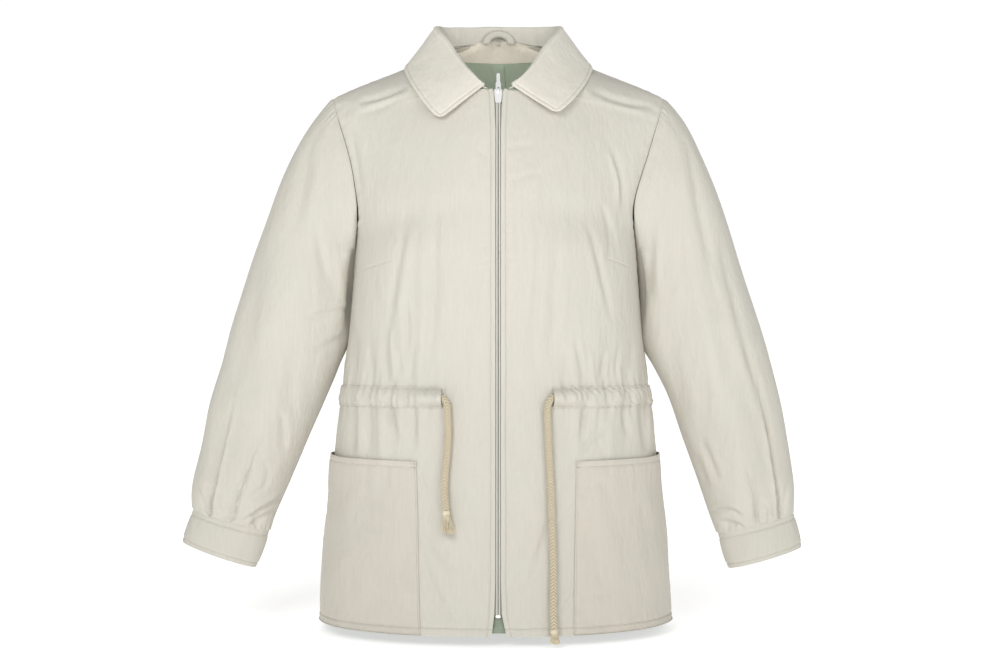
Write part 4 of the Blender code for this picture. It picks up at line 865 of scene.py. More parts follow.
CREASES_FRONT = (
    (-170.5, -268.1, -128, -256.9, 0, -1.15, 0.95, 0), (165.9, -265.2, 130.1, -253.3, 0, -1.15, 0.95, 0),
    (-77.7, -195.2, -86.7, -394.4, 3.9, -3.9, 7, -0.45),
    (-111, -200.1, -137.7, -361.6, -0.7, -2.55, 5.5, 0.8),
    (-115.9, -302.1, -114.6, -389.6, 4.1, -2.7, 3.8, -0.5),
    (-132.9, -341, -126.1, -411.4, 0, 3.6, 3.2, 0), (-141.4, -361.6, -135.3, -411.4, 0, -2.85, 3.2, 0),
    (-120.7, -367.7, -117.7, -411.4, 0, -3, 3, 0), (-101.3, -355.6, -107.4, -411.4, 0, -2.1, 4, 0.4),
    (-89.1, -370.1, -85.5, -411.4, 0, -1.65, 4, 0), (-181.4, -337.3, -177.8, -411.4, 0, -2.7, 5.5, 0),
    (-160.8, -355.6, -153.5, -411.4, 0, -1.8, 4, 0.4),
    (-177.8, -430.9, -180.2, -496.4, 0, -4.5, 5.5, 0.5), (-142.6, -430.9, -140.2, -511, 0, 3.6, 6.5, 0),
    (-132.9, -430.9, -121.9, -479.4, 0, -3.9, 3.6, 0.3),
    (-101.8, -428.4, -101.3, -486.7, 0, -3.9, 3.6, 0.3),
    (-160.8, -430.9, -158.4, -496.4, 0, -1.95, 4.5, 0), (-90.4, -613, -49.1, -692, -8.4, -3.9, 6.5, 0.4),
    (-92.8, -571.7, -46.6, -634.9, -3.7, -2.7, 6.5, -0.4),
    (-97.6, -513.4, -84.3, -542.6, 0, -2.25, 3.2, 0.4), (-87.9, -547.4, -74.6, -576.6, 0, -1.8, 4, 0.4),
    (-85.5, -671.3, -63.6, -698, 0, -1.95, 4, 0), (-39.3, -668.9, -27.2, -695.6, 0, -1.5, 4, 0),
    (-177.8, -56.8, -112.2, -38.6, -2.4, -3.6, 4.5, -0.6),
    (-180.2, -73.8, -119.5, -53.1, -1.7, -1.95, 4.5, 0),
    (-186.3, -98.1, -171.7, -173.4, 1, -2.4, 5, 0.5), (134.3, -119.9, 148.9, -185.5, 4, 2.85, 2.8, 0),
    (140.4, -119.9, 155, -190.4, 4.5, -2.4, 3.6, 0),
    (107.6, -209.8, 139.2, -333.7, 2.7, -2.85, 4.2, -0.4),
    (51.7, -217.1, 39.6, -382.3, 0.8, -2.25, 5, 0.4), (71.2, -240.2, 63.9, -387.1, 0.4, -2.25, 6.5, 0.4),
    (94.2, -353.1, 106.4, -411.4, 0, -2.85, 3.2, 0.4),
    (131.9, -370.1, 122.2, -411.4, 0, -3.45, 3.2, 0.6), (150.1, -361.6, 142.8, -411.4, 0, -2.7, 3.2, 0),
    (80.9, -367.7, 87, -411.4, 0, -1.8, 4, 0), (168.3, -349.5, 164.7, -411.4, 0, -2.4, 4.5, 0),
    (113.7, -367.7, 113.7, -411.4, 0, 2.25, 3, 0), (127, -188, 135.5, -260.8, 6.6, -2.85, 4.2, 0.4),
    (142.8, -212.2, 146.5, -256, 0, -2.1, 3.2, 0), (111.2, -41, 196.3, -60.4, -5.6, -3.3, 5, -0.5),
    (123.4, -60.4, 181.7, -76.2, 0, -1.5, 5, 0), (108.8, -430.9, 99.7, -479.4, 0, -3.9, 3.6, 0.3),
    (134.3, -430.9, 135.5, -503.7, 0, 3.3, 6.5, 0), (123.4, -430.9, 121, -496.4, 0, -1.95, 4, 0),
    (153.8, -430.9, 159.8, -472.1, 0, -3.6, 3.2, 0.4),
    (95.5, -500.1, 133.1, -457.6, 2.5, -2.7, 3.8, -0.4), (178, -430.9, 184.1, -496.4, 0, -3.9, 5.5, 0.4),
    (40.8, -637.3, 60.2, -574.2, -0.8, -2.55, 4.6, 0.4),
    (23.8, -654.3, 59, -625.2, 0.7, -1.95, 4.2, 0.4), (14.1, -579, 27.4, -535.3, 0, -1.65, 4, 0.4),
    (73.6, -540.2, 94.2, -509.8, 0, -2.4, 3.6, 0.5), (72.4, -580.2, 93, -552.3, 0, -2.25, 3.6, 0.5),
    (72.4, -683.5, 94.2, -656.8, 0, -2.1, 3.4, 0.5), (16.5, -513.4, 21.4, -464.9, 0, -1.35, 4.5, 0.4),
    (-34.5, -622.7, -17.5, -666.5, 0, -1.35, 5, 0.4), (11.7, -163.7, 56.6, -151.5, 1.3, -1.35, 2.6, 0.5),
    (9.2, -124.8, 48.1, -119.9, 2.7, -1.2, 2.6, 0.5), (-10.2, -134.5, -27.2, -127.2, 0, -1.2, 2.6, 0.5),
)


def front_panel(side, word, cloth, lining, thread):
    """A front: creases and flutes in the cut's surface, then its seams, puckers and topstitching."""
    rows = np.concatenate([
        spaced(SKIRT_ROWS, 0.092, HEM_STITCH / 26.0)[:-1],
        np.arange(SKIRT_ROWS - 0.98, SKIRT_ROWS - 0.42, 0.022),
        SKIRT_ROWS + spaced(FRONT_TOP - SKIRT_ROWS, 0.15),
    ])
    rows = np.unique(rows.round(4))
    t = spaced(1.0, 1 / 120, EDGE_STITCH / 345.0)
    grid = body_grid(True, side, rows, t)
    from_edge = lengths(grid, 1)
    grid = rows_eased(grid, ARMPIT, 42, ease(0, 22, from_edge[:, -1:] - from_edge) * ease(0, 22, from_edge))
    normals = outward(grid, BODY_MIDDLE)
    to_side = from_edge[:, -1:] - from_edge
    from_hem, to_top = both_ways(grid, 0)
    seam = np.minimum(to_side, to_top)
    free = ease(0, 16, seam) * ease(0, 9, from_edge)
    move = creased(grid, normals, CREASES_FRONT, -1)
    move += waist_flutes(grid, FLUTES_FRONT) * ease(8, 30, to_side) * ease(55, 75, np.abs(grid[..., 0]))
    move += undulation(grid, 1.3 + side, 120, 0.9) * free
    move *= free
    move -= SEAM_DIP * bump(to_side, SEAM_WIDTH) * ease(-260, -200, grid[..., 2])
    move -= 0.3 * bump(to_side, SEAM_WIDTH) + SEAM_DIP * bump(to_top, SEAM_WIDTH)
    move += groove(from_hem - HEM_STITCH) + groove(from_edge - EDGE_STITCH)
    loose = ease(0, 3, seam) * ease(0, 3, from_edge)
    move += puckers(from_edge, np.abs(from_hem - HEM_STITCH - 3), 10.5, 11, 0.42, 1.1 + side, 0.5) * loose
    move += puckers(from_hem, np.abs(from_edge - EDGE_STITCH - 3), 9.5, 9, 0.26, 2.2 + side, 0.2) * loose
    move += puckers(from_hem, to_side, 15, 13, 0.5, 3.4 + side, 0.4) * loose
    move += puckers(from_edge, to_top, 14, 12, 0.35, 0.4 + side) * loose
    beyond = ease(58, 72, np.abs(grid[..., 0]))
    for line, seed in ((CASING_TOP, 0.9), (CASING_BOTTOM, 2.9)):
        away = np.abs(grid[..., 2] - line)
        move += puckers(from_edge, away, 11.5, 20, 0.85, seed + side, 0.12) * beyond * loose
    move[:, 0] -= 0.3
    grid = grid + normals * move[..., None]
    normals = outward(grid, BODY_MIDDLE)
    obj = shell("front_" + word + "_cloth", grid, normals, SHELL_WALL, cloth, lining)
    sewn = stitches("front_" + word + "_stitches", [
        line_across(grid, normals, HEM_STITCH, 0),
        line_across(grid, normals, EDGE_STITCH, 1),
    ], thread)
    cloth_piece(obj, "front_" + word)
    return grid, normals


BACK_SPLIT = 60  # the column before the centre back; above the neckline the two halves are apart


def back_panel(cloth, lining, thread):
    """The back, made like the fronts from one side seam round to the other."""
    rows = np.concatenate([
        spaced(SKIRT_ROWS, 0.1, HEM_STITCH / 26.0)[:-1],
        SKIRT_ROWS + spaced(BACK_TOP - SKIRT_ROWS, 0.13),
    ])
    t = np.linspace(0, 1, BACK_SPLIT + 1)
    left, right = (body_grid(False, side, rows, t) for side, _ in SIDES)
    grid = np.concatenate([left[:, ::-1], right], axis=1)
    from_left = lengths(grid, 1)
    grid = rows_eased(grid, ARMPIT, 42, ease(0, 22, np.minimum(from_left, from_left[:, -1:] - from_left)))
    normals = outward(grid, BODY_MIDDLE, split=BACK_SPLIT)
    from_left = lengths(grid, 1)
    to_side = np.minimum(from_left, from_left[:, -1:] - from_left)
    from_hem, to_top = both_ways(grid, 0)
    free = ease(0, 16, np.minimum(to_side, to_top))
    move = creased(grid, normals, CREASES_BACK, 1)
    move += waist_flutes(grid, FLUTES_BACK) * ease(8, 30, to_side)
    move += undulation(grid, 5.1, 130, 1.0)
    move *= free
    move -= SEAM_DIP * bump(to_side, SEAM_WIDTH) * ease(-260, -200, grid[..., 2])
    move -= 0.3 * bump(to_side, SEAM_WIDTH) + SEAM_DIP * bump(to_top, SEAM_WIDTH)
    move += groove(from_hem - HEM_STITCH)
    loose = ease(0, 3, to_side) * ease(0, 3, to_top)
    move += puckers(from_left, np.abs(from_hem - HEM_STITCH - 3), 15, 12, 0.42, 4.4, 0.4) * loose
    move += puckers(from_hem, to_side, 16, 13, 0.5, 5.6, 0.4) * loose
    grid = grid + normals * move[..., None]
    normals = outward(grid, BODY_MIDDLE, split=BACK_SPLIT)
    obj = shell("back_cloth", grid, normals, SHELL_WALL, cloth, lining, split=BACK_SPLIT)
    sewn = stitches("back_stitches", [line_across(grid, normals, HEM_STITCH, 0)], thread)
    cloth_piece(obj, "back")
    return grid, normals, BACK_SPLIT


FLUTES_BACK = tuple(
    (
        -172 + 16.4 * k + 4 * math.sin(2.1 * k),
        (-1) ** k * (1.9 + 0.9 * math.sin(5 * k)),
        5.0 + 1.2 * math.sin(k),
        50 + 18 * math.sin(3 * k),
        66 + 22 * math.sin(4.3 * k),
        0,
    )
    for k in range(22)
)
CREASES_BACK = (
    (-175, -195, -95, -150, 8, -3.2, 6.5, 0.5), (176, -190, 100, -140, -8, -3, 6.5, -0.5),
    (-182, -242, -118, -214, 5, -2.4, 5.5, 0.4), (180, -232, 126, -212, -5, -2.2, 5.5, -0.4),
    (-150, -300, -60, -330, 6, -2.4, 8, 0.4), (150, -285, 70, -320, -6, -2.2, 8, -0.4),
    (-60, -405, -92, -250, 5, -2.6, 6.5, 0.5), (55, -405, 82, -262, -5, -2.8, 6.5, -0.5),
    (-128, -405, -142, -290, 4, -2.3, 5.5, 0.4), (8, -405, 1, -312, 3, -1.9, 6.5, 0.4),
    (122, -405, 136, -302, -4, -2.3, 5.5, -0.4), (-100, -452, -114, -640, 5, -3.4, 9, 0.5),
    (-32, -452, -47, -690, -4, -3, 10, 0.5), (27, -452, 34, -600, 3, -2.6, 7.5, -0.4),
    (77, -452, 97, -690, 4, -3.4, 9, -0.5), (150, -470, 165, -690, 3, -2.8, 9, 0.4),
    (-157, -470, -173, -690, -3, -2.8, 9, -0.4), (-66, -645, -8, -604, 4, -1.5, 7, 0.4),
)


# ----------------------------------------
# Sleeves and cuffs

SLEEVE_STEPS = FRONT_TOP - SKIRT_ROWS + BACK_TOP - SKIRT_ROWS  # the solids' columns round a sleeve
SLEEVE_WALL, CUFF_WALL = 1.1, 1.8
SLEEVE_COLUMNS = 156
CUFF_STITCH = 5.5
UNDERARM_PRESS = 4.0  # how far the sleeve's inner side leans on the body
UNDERARM_FOLD = {"left": (4.5, 5.0), "right": (3.0, 3.5)}  # the fold before it, and the hollow between


def armhole(side, steps):
    """Points of the armhole at steps counted in the solids' columns, down the front and up the back."""
    down = FRONT_TOP - SKIRT_ROWS
    ahead = FRONT_TOP - steps[steps <= down]
    behind = steps[steps > down] - down + SKIRT_ROWS
    edge = np.array([1.0])
    points = body_grid(True, side, ahead[::-1], edge)[::-1, 0]
    return np.concatenate([points, body_grid(False, side, behind, edge)[:, 0]])


def ring_points(ring, angles):
    """Points round a sleeve's section, from its outer edge over the front."""
    outer = np.array([ring.outer_x, ring.y, ring.outer_z], float)
    inner = np.array([ring.inner_x, ring.y, ring.inner_z], float)
    centre, across = (outer + inner) / 2, (outer - inner) / 2
    forward = np.array([0.0, -ring.half_depth, 0.0])
    return centre + np.cos(angles)[:, None] * across + np.sin(angles)[:, None] * forward


def fold_depth(station, angles):
    """How far the broad folds move the sleeve's surface, for an array of angles in degrees."""
    total = np.zeros(len(angles))
    for fold in SLEEVE_FOLDS:
        along = (station - fold.start) / (fold.end - fold.start)
        if not 0 < along < 1.05:
            continue
        away = (angles - fold.angle - fold.turn * along + 180) % 360 - 180
        total += fold.depth * math.sin(math.pi * min(along, 1)) ** 0.7 * bump(away, fold.spread)
    return total


def sleeve_grid(hole, angles, rings, cap_places, lower_places):
    """Rings of points from the armhole over the cap and down to the cuff."""
    first, second = ring_points(rings[0], angles), ring_points(rings[1], angles)
    side = np.sign(rings[0].outer_x)
    middle = hole.mean(axis=0)
    under = ease(100, 175, np.degrees(np.minimum(angles, 2 * math.pi - angles)))[:, None]
    radial = unit((hole - middle) * np.array([0, 1, 1]))
    over = np.array([side, 0, -1.3]) + 0.35 * radial
    down = np.array([0.18 * side, 0, -1.0])
    leave = unit((1 - under) * unit(over) + under * down)
    span = np.linalg.norm(first - hole, axis=1, keepdims=True)
    start_pull = leave * span * CAP_RISE
    end_pull = -unit(second - first) * span * CAP_LANDING
    cap = np.array([cubic(*ends, cap_places) for ends in zip(hole, start_pull, end_pull, first)])
    grid = list(np.transpose(cap, (1, 0, 2)))
    table = np.array([ring_points(ring, angles) for ring in rings])
    lower = smooth(np.arange(len(rings)), table.reshape(len(rings), -1), lower_places)
    for station, flat in zip(lower_places, lower):
        ring = flat.reshape(len(angles), 3)
        out = unit(ring - ring.mean(axis=0))
        fade = 1 - ease(5.6, 6.0, station)
        grid.append(ring + out * (fold_depth(station, np.degrees(angles)) * fade)[:, None])
    return np.array(grid)


def tube_normals(grid):
    """Normals of rings of points, turned away from their middles."""
    normals = grid_normals(grid, around=True)
    away = grid - grid.mean(axis=1, keepdims=True)
    return normals if (normals * away).sum() > 0 else -normals


CREASES_SLEEVE = {
    "left": (
        (-206.5, -220.1, -200.8, -305.5, 1.3, 1.8, 4.2, 0),
        (-227.8, -210, -215.3, -282.9, 0.6, -2.8, 5, 0.5),
        (-237.9, -328.1, -186.4, -314.3, -0.1, -2.8, 3.6, 0.7),
        (-230.4, -369.5, -186.4, -345.7, -2, -2.3, 4.5, 0.6),
        (-237.9, -98.2, -254.2, -225.1, 1, -3.2, 8, 0.6), (-215.3, -79.4, -204, -167.3, 0.2, -2.1, 6, 0.5),
        (-332.1, -431.1, -381.1, -669.7, 0.4, -4.1, 2.5, 0.8),
        (-342.1, -443.6, -369.8, -571.8, 0.9, -2.3, 7, 0),
        (-289.4, -471.3, -367.3, -669.7, -0.3, -3.7, 2.3, -0.7),
        (-300.7, -493.9, -320.8, -555.4, 22.9, -1.8, 3, 0),
        (-268, -551.7, -318.3, -581.8, -1.1, -4.1, 2.8, -0.7),
        (-270.5, -565.5, -313.2, -589.3, -1.6, -3, 3.2, -0.5),
        (-383.6, -531.6, -362.2, -578, 1.5, -2.3, 2.8, 0.4),
        (-271.8, -441.1, -269.3, -496.4, 2.5, -2.3, 3.8, 0.5),
        (-296.9, -230.1, -323.3, -431.1, -1.9, -2.8, 15, 0.4),
        (-249.2, -343.2, -266.8, -446.2, 0.7, -2.1, 9, 0.4),
        (-347.2, -571.8, -345.9, -539.1, 1.8, -1.8, 2.4, 0.4),
        (-307, -590.6, -296.9, -564.2, 2.6, -1.6, 2.4, 0.4),
    ),
    "right": (
        (231.9, -129.6, 303.4, -491.4, -15.3, 3, 10, 0), (238.1, -99.5, 278.3, -310.5, -3.4, -3.4, 7, -0.3),
        (278.3, -225.1, 319.8, -400.9, -2.8, -3.2, 6.5, -0.5), (263.3, -249, 278.3, -305.5, 0, 1.8, 4, 0),
        (308.5, -355.7, 337.4, -473.8, 1.5, -3.2, 5, -0.4),
        (326.1, -395.9, 365, -682.3, 1.9, -5.3, 2.8, -0.7),
        (304.7, -493.9, 342.4, -657.2, -1.3, -3.4, 2.3, 0.6),
        (252, -476.3, 274.6, -531.6, 0, -2.8, 4.2, 0.5), (244.4, -496.4, 263.3, -544.1, 1, -2.3, 4.2, 0.5),
        (265.8, -573, 306, -579.3, 8.9, -3.9, 3.2, 0.6), (273.3, -584.3, 308.5, -591.9, 3.7, -2.5, 2.8, 0.5),
        (201.1, -205, 203, -311.8, -1.5, 2.5, 5, 0), (190.4, -236.4, 192.9, -303, 0, -1.8, 4.2, 0),
        (213, -343.2, 235.6, -456.2, -2.5, -2.3, 9, 0.4), (365, -529.1, 357.5, -576.8, -2.7, -2.3, 3, 0.4),
        (338.6, -586.8, 331.1, -556.7, -2.4, -1.8, 2.4, 0.4),
        (290.9, -343.2, 290.9, -468.8, -10, -1.6, 10, 0.4),
    ),
}


def sleeve(side, word, cloth, lining, thread):
    """A sleeve, its underarm folds against the body, and the cuff that ends it."""
    rings = SLEEVE_LEFT if side < 0 else SLEEVE_RIGHT
    steps = np.arange(SLEEVE_COLUMNS) * SLEEVE_STEPS / SLEEVE_COLUMNS
    angles = 2 * math.pi * steps / SLEEVE_STEPS
    hole = armhole(side, steps)
    cap_places = spaced(1.0, 1 / 46, 0.02)
    lower_places = np.concatenate([np.arange(0.056, 5.6, 0.056), np.linspace(5.6, 6.0, 13)])
    grid = sleeve_grid(hole, angles, rings, cap_places, lower_places)
    normals = tube_normals(grid)
    from_top, to_cuff = both_ways(grid, 0)
    free = ease(0, 22, from_top) * ease(0, 5, to_cuff)
    move = creased(grid, normals, CREASES_SLEEVE[word], -1)
    move += creased(grid, normals, CREASES_SLEEVE_BACK[word], 1)
    move += undulation(grid, 2.7 + side, 110, 1.2) * free
    turn = np.degrees(angles)[None, :] - 182.0
    height = grid[..., 2]
    under = ease(-222, -250, height) * ease(-392, -352, height)
    move += UNDERARM_PRESS * bump(turn, 13) * under
    crest, hollow = UNDERARM_FOLD[word]
    notch = ease(-238, -248, height) * ease(-352, -312, height)
    move += (crest * bump(turn + 34, 12) - hollow * bump(turn + 15, 7)) * notch
    around = 3.9 * np.degrees(angles)[None, :] * math.pi / 4.0 * np.ones_like(height) / 3.0  # about mm
    move += puckers(around, from_top, 13, 13, 0.5, 1.3 + side) * ease(0, 4, from_top)
    move += puckers(around, to_cuff, 12, 16, 0.7, 2.5 + side) * ease(0, 3, to_cuff)
    move *= ease(0, 3, to_cuff)
    move -= SEAM_DIP * bump(from_top, SEAM_WIDTH) + 0.9 * bump(to_cuff, 2.0)
    grid = grid + normals * move[..., None]
    normals = tube_normals(grid)
    obj = shell("sleeve_" + word + "_cloth", grid, normals, SLEEVE_WALL, cloth, lining, around=True)
    cloth_piece(obj, "sleeve_" + word)
    cuff(side, word, grid[-1], angles, CUFF_END[word], cloth, thread)
    return grid, normals


def cuff(side, word, top, angles, end, cloth, thread):
    """The band from the sleeve's last ring to the wrist, stitched at both edges."""
    bottom = ring_points(end, angles)
    places = spaced(1.0, 1 / 12, 0.16, 0.85)
    out = unit(top - top.mean(axis=0))
    grid = np.array([top * (1 - p) + bottom * p + out * 1.3 * math.sin(math.pi * p) for p in places])
    normals = tube_normals(grid)
    from_top, to_end = both_ways(grid, 0)
    move = undulation(grid, 7.7 + side, 60, 0.5) * ease(0, 8, from_top) * ease(0, 8, to_end)
    move += 0.7 * ease(0, 1.2, from_top) * ease(0, 0.8, to_end)
    move += groove(from_top - CUFF_STITCH) + groove(to_end - CUFF_STITCH)
    grid = grid + normals * move[..., None]
    normals = tube_normals(grid)
    obj = shell("cuff_" + word + "_cloth", grid, normals, CUFF_WALL, cloth, cloth, around=True)
    closed = np.concatenate([grid, grid[:, :1]], axis=1)
    closed_normals = np.concatenate([normals, normals[:, :1]], axis=1)
    sewn = stitches("cuff_" + word + "_stitches", [
        line_across(closed, closed_normals, CUFF_STITCH, 0),
        line_across(closed, closed_normals, CUFF_STITCH, 0, from_end=True),
    ], thread)
    cloth_piece(obj, "cuff_" + word)


CREASES_SLEEVE_BACK = {
    "left": (
        (-235, -120, -290, -300, 8, -3, 12, 0.5), (-300, -300, -250, -400, 6, -3.2, 10, 0.5),
        (-330, -420, -270, -440, -5, -3, 9, 0.5), (-350, -580, -335, -510, 2, -3.5, 5, 0.7),
        (-320, -590, -300, -530, 2, -3.5, 5, 0.7),
    ),
    "right": (
        (235, -130, 285, -310, -8, -3, 12, -0.5), (290, -320, 245, -410, -6, -3.2, 10, -0.5),
        (325, -430, 262, -452, 5, -3, 9, -0.5), (340, -580, 322, -515, -2, -3.5, 5, -0.7),
        (305, -590, 292, -530, -2, -3.5, 5, -0.7),
    ),
}


# ----------------------------------------
# Collar

NECK_STEP = 0.125  # of a row of the solids


def necklines():
    """The neckline's points, front from the zip to the shoulder and back from the centre to it."""
    ahead = np.arange(SKIRT_ROWS + FRONT_STEPS, FRONT_TOP + NECK_STEP / 2, NECK_STEP)
    behind = np.arange(SKIRT_ROWS + BACK_STEPS, BACK_TOP + NECK_STEP / 2, NECK_STEP)
    edge = np.array([0.0])
    return tuple(body_grid(front, 1, rows, edge)[:, 0] for front, rows in ((True, ahead), (False, behind)))


def seam_point(neck_front, neck_back, station):
    """The place on the neckline that a collar station is sewn to."""
    if station <= COLLAR_SHOULDER:
        at = np.interp(station, [0, COLLAR_SHOULDER], [COLLAR_START, FRONT_NECK_STEPS])
        line = neck_front
    else:
        at = (station - COLLAR_SHOULDER) / (len(COLLAR) - 1 - COLLAR_SHOULDER) * BACK_NECK_STEPS
        line = neck_back[::-1]
    return read([at], NECK_STEP * np.arange(len(line)), line)[0]


def collar_profile(seam, roll, edge, radius, out):
    """One column of the collar, from its seam up over the roll and down to the leaf's edge."""
    up = np.array([0, 0, 1.0])
    inner = roll - (out + up) * radius
    outer = roll + (out - up) * radius
    points = [seam, (seam + inner) / 2, inner, roll - out * radius * 0.72 - up * radius * 0.3, roll]
    points += [roll + out * radius * 0.72 - up * radius * 0.3, outer]
    points += [outer * (1 - share) + edge * share for share in (0.2, 0.42, 0.62, 0.82, 1.0)]
    return np.array(points)


def collar_half(neck_front, neck_back, side):
    """Columns of the collar from its front edge to the centre back."""
    table = np.array([(*s.roll, *s.edge, s.radius) for s in COLLAR])
    mirror = np.array([-1, 1, 1, -1, 1, 1, 1])
    table = np.concatenate([table, (table * mirror)[-2::-1]])
    front = np.linspace(0, COLLAR_SHOULDER, 2 * (FRONT_NECK_STEPS - COLLAR_START) + 1)
    back = np.linspace(COLLAR_SHOULDER, len(COLLAR) - 1, 2 * BACK_NECK_STEPS + 1)
    stations = np.concatenate([front, back[1:]])
    columns = []
    for station, row in zip(stations, smooth(np.arange(len(table)), table, stations)):
        seam = seam_point(neck_front, neck_back, station)
        roll, edge, radius = row[0:3], row[3:6], row[6]
        out = unit(np.array([seam[0] - COLLAR_CENTRE[0], seam[1] - COLLAR_CENTRE[1], 0.0]))
        edge[2] += side * TIP_DROP * (1 - ease(0, 3, station))
        seam = seam + COLLAR_RISE * np.array([0, 0, 1.0]) - COLLAR_INSET * out
        columns.append(collar_profile(seam, roll, edge, radius, out) * (side, 1, 1))
    return columns


def lift_needed(tree, point, need):
    """The move that brings a point to its distance off the cloth under it."""
    place, normal, _, _ = tree.find_nearest(Vector(point))
    away = (Vector(point) - place).dot(normal)
    return np.array(normal) * max(need - away, 0.0)


def settled(grid, tree, need):
    """The collar with its leaf lifted clear of the cloth under it."""
    grid = grid.copy()
    count, across = grid.shape[:2]
    for _ in range(4):
        for row in range(COLLAR_ROLL_ROW + 2, across):
            for column in range(count):
                grid[column, row] += lift_needed(tree, grid[column, row], need)
            for column in range(count - 1):
                middle = (grid[column, row] + grid[column + 1, row]) / 2
                grid[column : column + 2, row] += lift_needed(tree, middle, need)
    return grid


def evened(moves):
    """Moves spread over their neighbours, so that the cloth has no single pushed point."""
    for _ in range(2):
        for axis in (0, 1):
            wide = np.concatenate([moves.take([0], axis), moves, moves.take([-1], axis)], axis)
            low, high = (wide.take(range(k, k + moves.shape[axis]), axis) for k in (0, 2))
            moves = (low + 2 * moves + high) / 4
    return moves


def surface_tree(*surfaces):
    """A search tree of outer surfaces given as (grid, normals) or (grid, normals, split)."""
    corners, faces = [], []
    for grid, normals, *split in surfaces:
        points = grid.reshape(-1, 3)
        quads = turned_to(grid_quads(grid, False, *split), points, normals.reshape(-1, 3))
        faces += (quads + len(corners)).tolist()
        corners += points.tolist()
    return BVHTree.FromPolygons(corners, faces)


def refined(grid, rows, columns):
    """The grid read smoothly at other row and column places."""
    first = smooth(np.arange(grid.shape[0]), grid.reshape(grid.shape[0], -1), rows)
    first = first.reshape(len(rows), grid.shape[1], 3)
    second = smooth(np.arange(grid.shape[1]), np.swapaxes(first, 0, 1).reshape(grid.shape[1], -1), columns)
    return np.swapaxes(second.reshape(len(columns), len(rows), 3), 0, 1)


COLLAR_WALL = 1.7
COLLAR_STITCH = 4.6
TIP_RADIUS = 10.0


def rounded_tips(grid):
    """The collar with both front corners of its leaf drawn in to a round."""
    over = lengths(grid, 0)
    _, to_edge = both_ways(grid, 1)
    first = over < over[-1:] / 2
    to_front = np.where(first, over, over[-1:] - over)
    a = np.clip(1 - to_front / TIP_RADIUS, 0, 1)
    b = np.clip(1 - to_edge / TIP_RADIUS, 0, 1)
    pull_front = TIP_RADIUS * (a - a * np.sqrt(1 - b * b / 2))
    pull_edge = TIP_RADIUS * (b - b * np.sqrt(1 - a * a / 2))
    from_front = unit(np.gradient(grid, axis=0)) * np.where(first, 1.0, -1.0)[..., None]
    from_edge = -unit(np.gradient(grid, axis=1))
    return grid + from_front * pull_front[..., None] + from_edge * pull_edge[..., None]


def collar(surfaces, cloth, thread):
    """Stand and leaf as one strip that rests on the surfaces given."""
    necks = necklines()
    left, right = (collar_half(*necks, side) for side, _ in SIDES)
    raw = np.array(left + right[-2::-1])
    coarse = raw + evened(settled(raw, surface_tree(*surfaces), COLLAR_WALL + 1.5) - raw) * 1.15
    columns = spaced(coarse.shape[0] - 1, 0.18, 0.55, coarse.shape[0] - 1.55)
    rows = np.concatenate([np.arange(0, 10, 0.25), np.linspace(10, 11, 13)])
    grid = rounded_tips(refined(coarse, columns, rows))
    normals = grid_normals(grid)
    if normals[len(columns) // 2, rows == COLLAR_ROLL_ROW, 2] < 0:
        normals = -normals
    _, to_edge = both_ways(grid, 1)
    over_edge, back_over = both_ways(grid, 0)
    to_front = np.minimum(over_edge, back_over)
    leaf = (rows > COLLAR_FALL_ROW)[None, :]
    inside = np.minimum(to_edge, to_front)
    move = groove(inside - COLLAR_STITCH, 0.7, 1.3) * leaf
    move += 0.35 * ease(0, 2.5, inside) * leaf
    move += undulation(grid, 3.3, 70, 0.5) * ease(4, 20, inside)
    move += puckers(over_edge, np.abs(to_edge - COLLAR_STITCH), 9, 7, 0.16, 0.7) * ease(0, 3, inside) * leaf
    grid = grid + normals * move[..., None]
    obj = shell("collar_cloth", grid, normals, COLLAR_WALL, cloth, cloth)
    edge_line, edge_ways = line_across(grid, normals, COLLAR_STITCH, 1, from_end=True)
    ends = to_front[:, -8] > COLLAR_STITCH
    lines = [(edge_line[ends], edge_ways[ends])]
    keep = (to_edge[4] > COLLAR_STITCH) & leaf[0]
    for from_end in (False, True):
        line, ways = line_across(grid, normals, COLLAR_STITCH, 0, from_end)
        lines.append((line[keep], ways[keep]))
    sewn = stitches("collar_stitches", lines, thread)
    cloth_piece(obj, "collar")


# ----------------------------------------
# Pieces that lie on the body


LAY_REACH = 25.0  # how far off the cloth a point may start


def laid_on(tree, points, normals):
    """Each point moved along its normal onto the cloth under it; a point over none stays."""
    laid = points.reshape(-1, 3).copy()
    for i, (point, normal) in enumerate(zip(laid.copy(), normals.reshape(-1, 3))):
        hit = tree.ray_cast(Vector(point + normal * LAY_REACH), Vector(-normal), 2 * LAY_REACH)
        if hit[0] is not None:
            laid[i] = hit[0]
    return laid.reshape(points.shape)


CASING_PUCKERS = (-153, -144.5, -134.5, -126.5, -117, -104, -92, -80, 78, 91, 103, 114, 127, 136, 146, 155)
CASING_WALL = 1.1
CASING_COLUMNS = 761
CASING_STITCH = 2.2
CASING_SHARES = (
    0, 0.03, 0.06, 0.09, 0.12, 0.16, 0.2, 0.26, 0.33, 0.41,
    0.5, 0.59, 0.67, 0.74, 0.8, 0.84, 0.88, 0.91, 0.94, 0.97, 1,
)  # the rows' places from the top edge down


def casing_line(z):
    """A line round the body at one height, from the casing's left end round the back to its right."""
    t = np.linspace(0, 1, 241)
    left_front, left_back, right_front, right_back = (
        leaned(skirt_rows([z], t, front)[0] * (side, 1, 1)) for side, _ in SIDES for front in (True, False)
    )
    loop = np.concatenate([left_front, left_back[::-1][1:], right_back[1:], right_front[::-1][1:]])
    keep = (loop[:, 1] > -20) | (loop[:, 0] < CASING_END_LEFT) | (loop[:, 0] > CASING_END_RIGHT)
    line = loop[keep]
    along = run(line)
    return read(np.linspace(0, along[-1], CASING_COLUMNS), along, line)


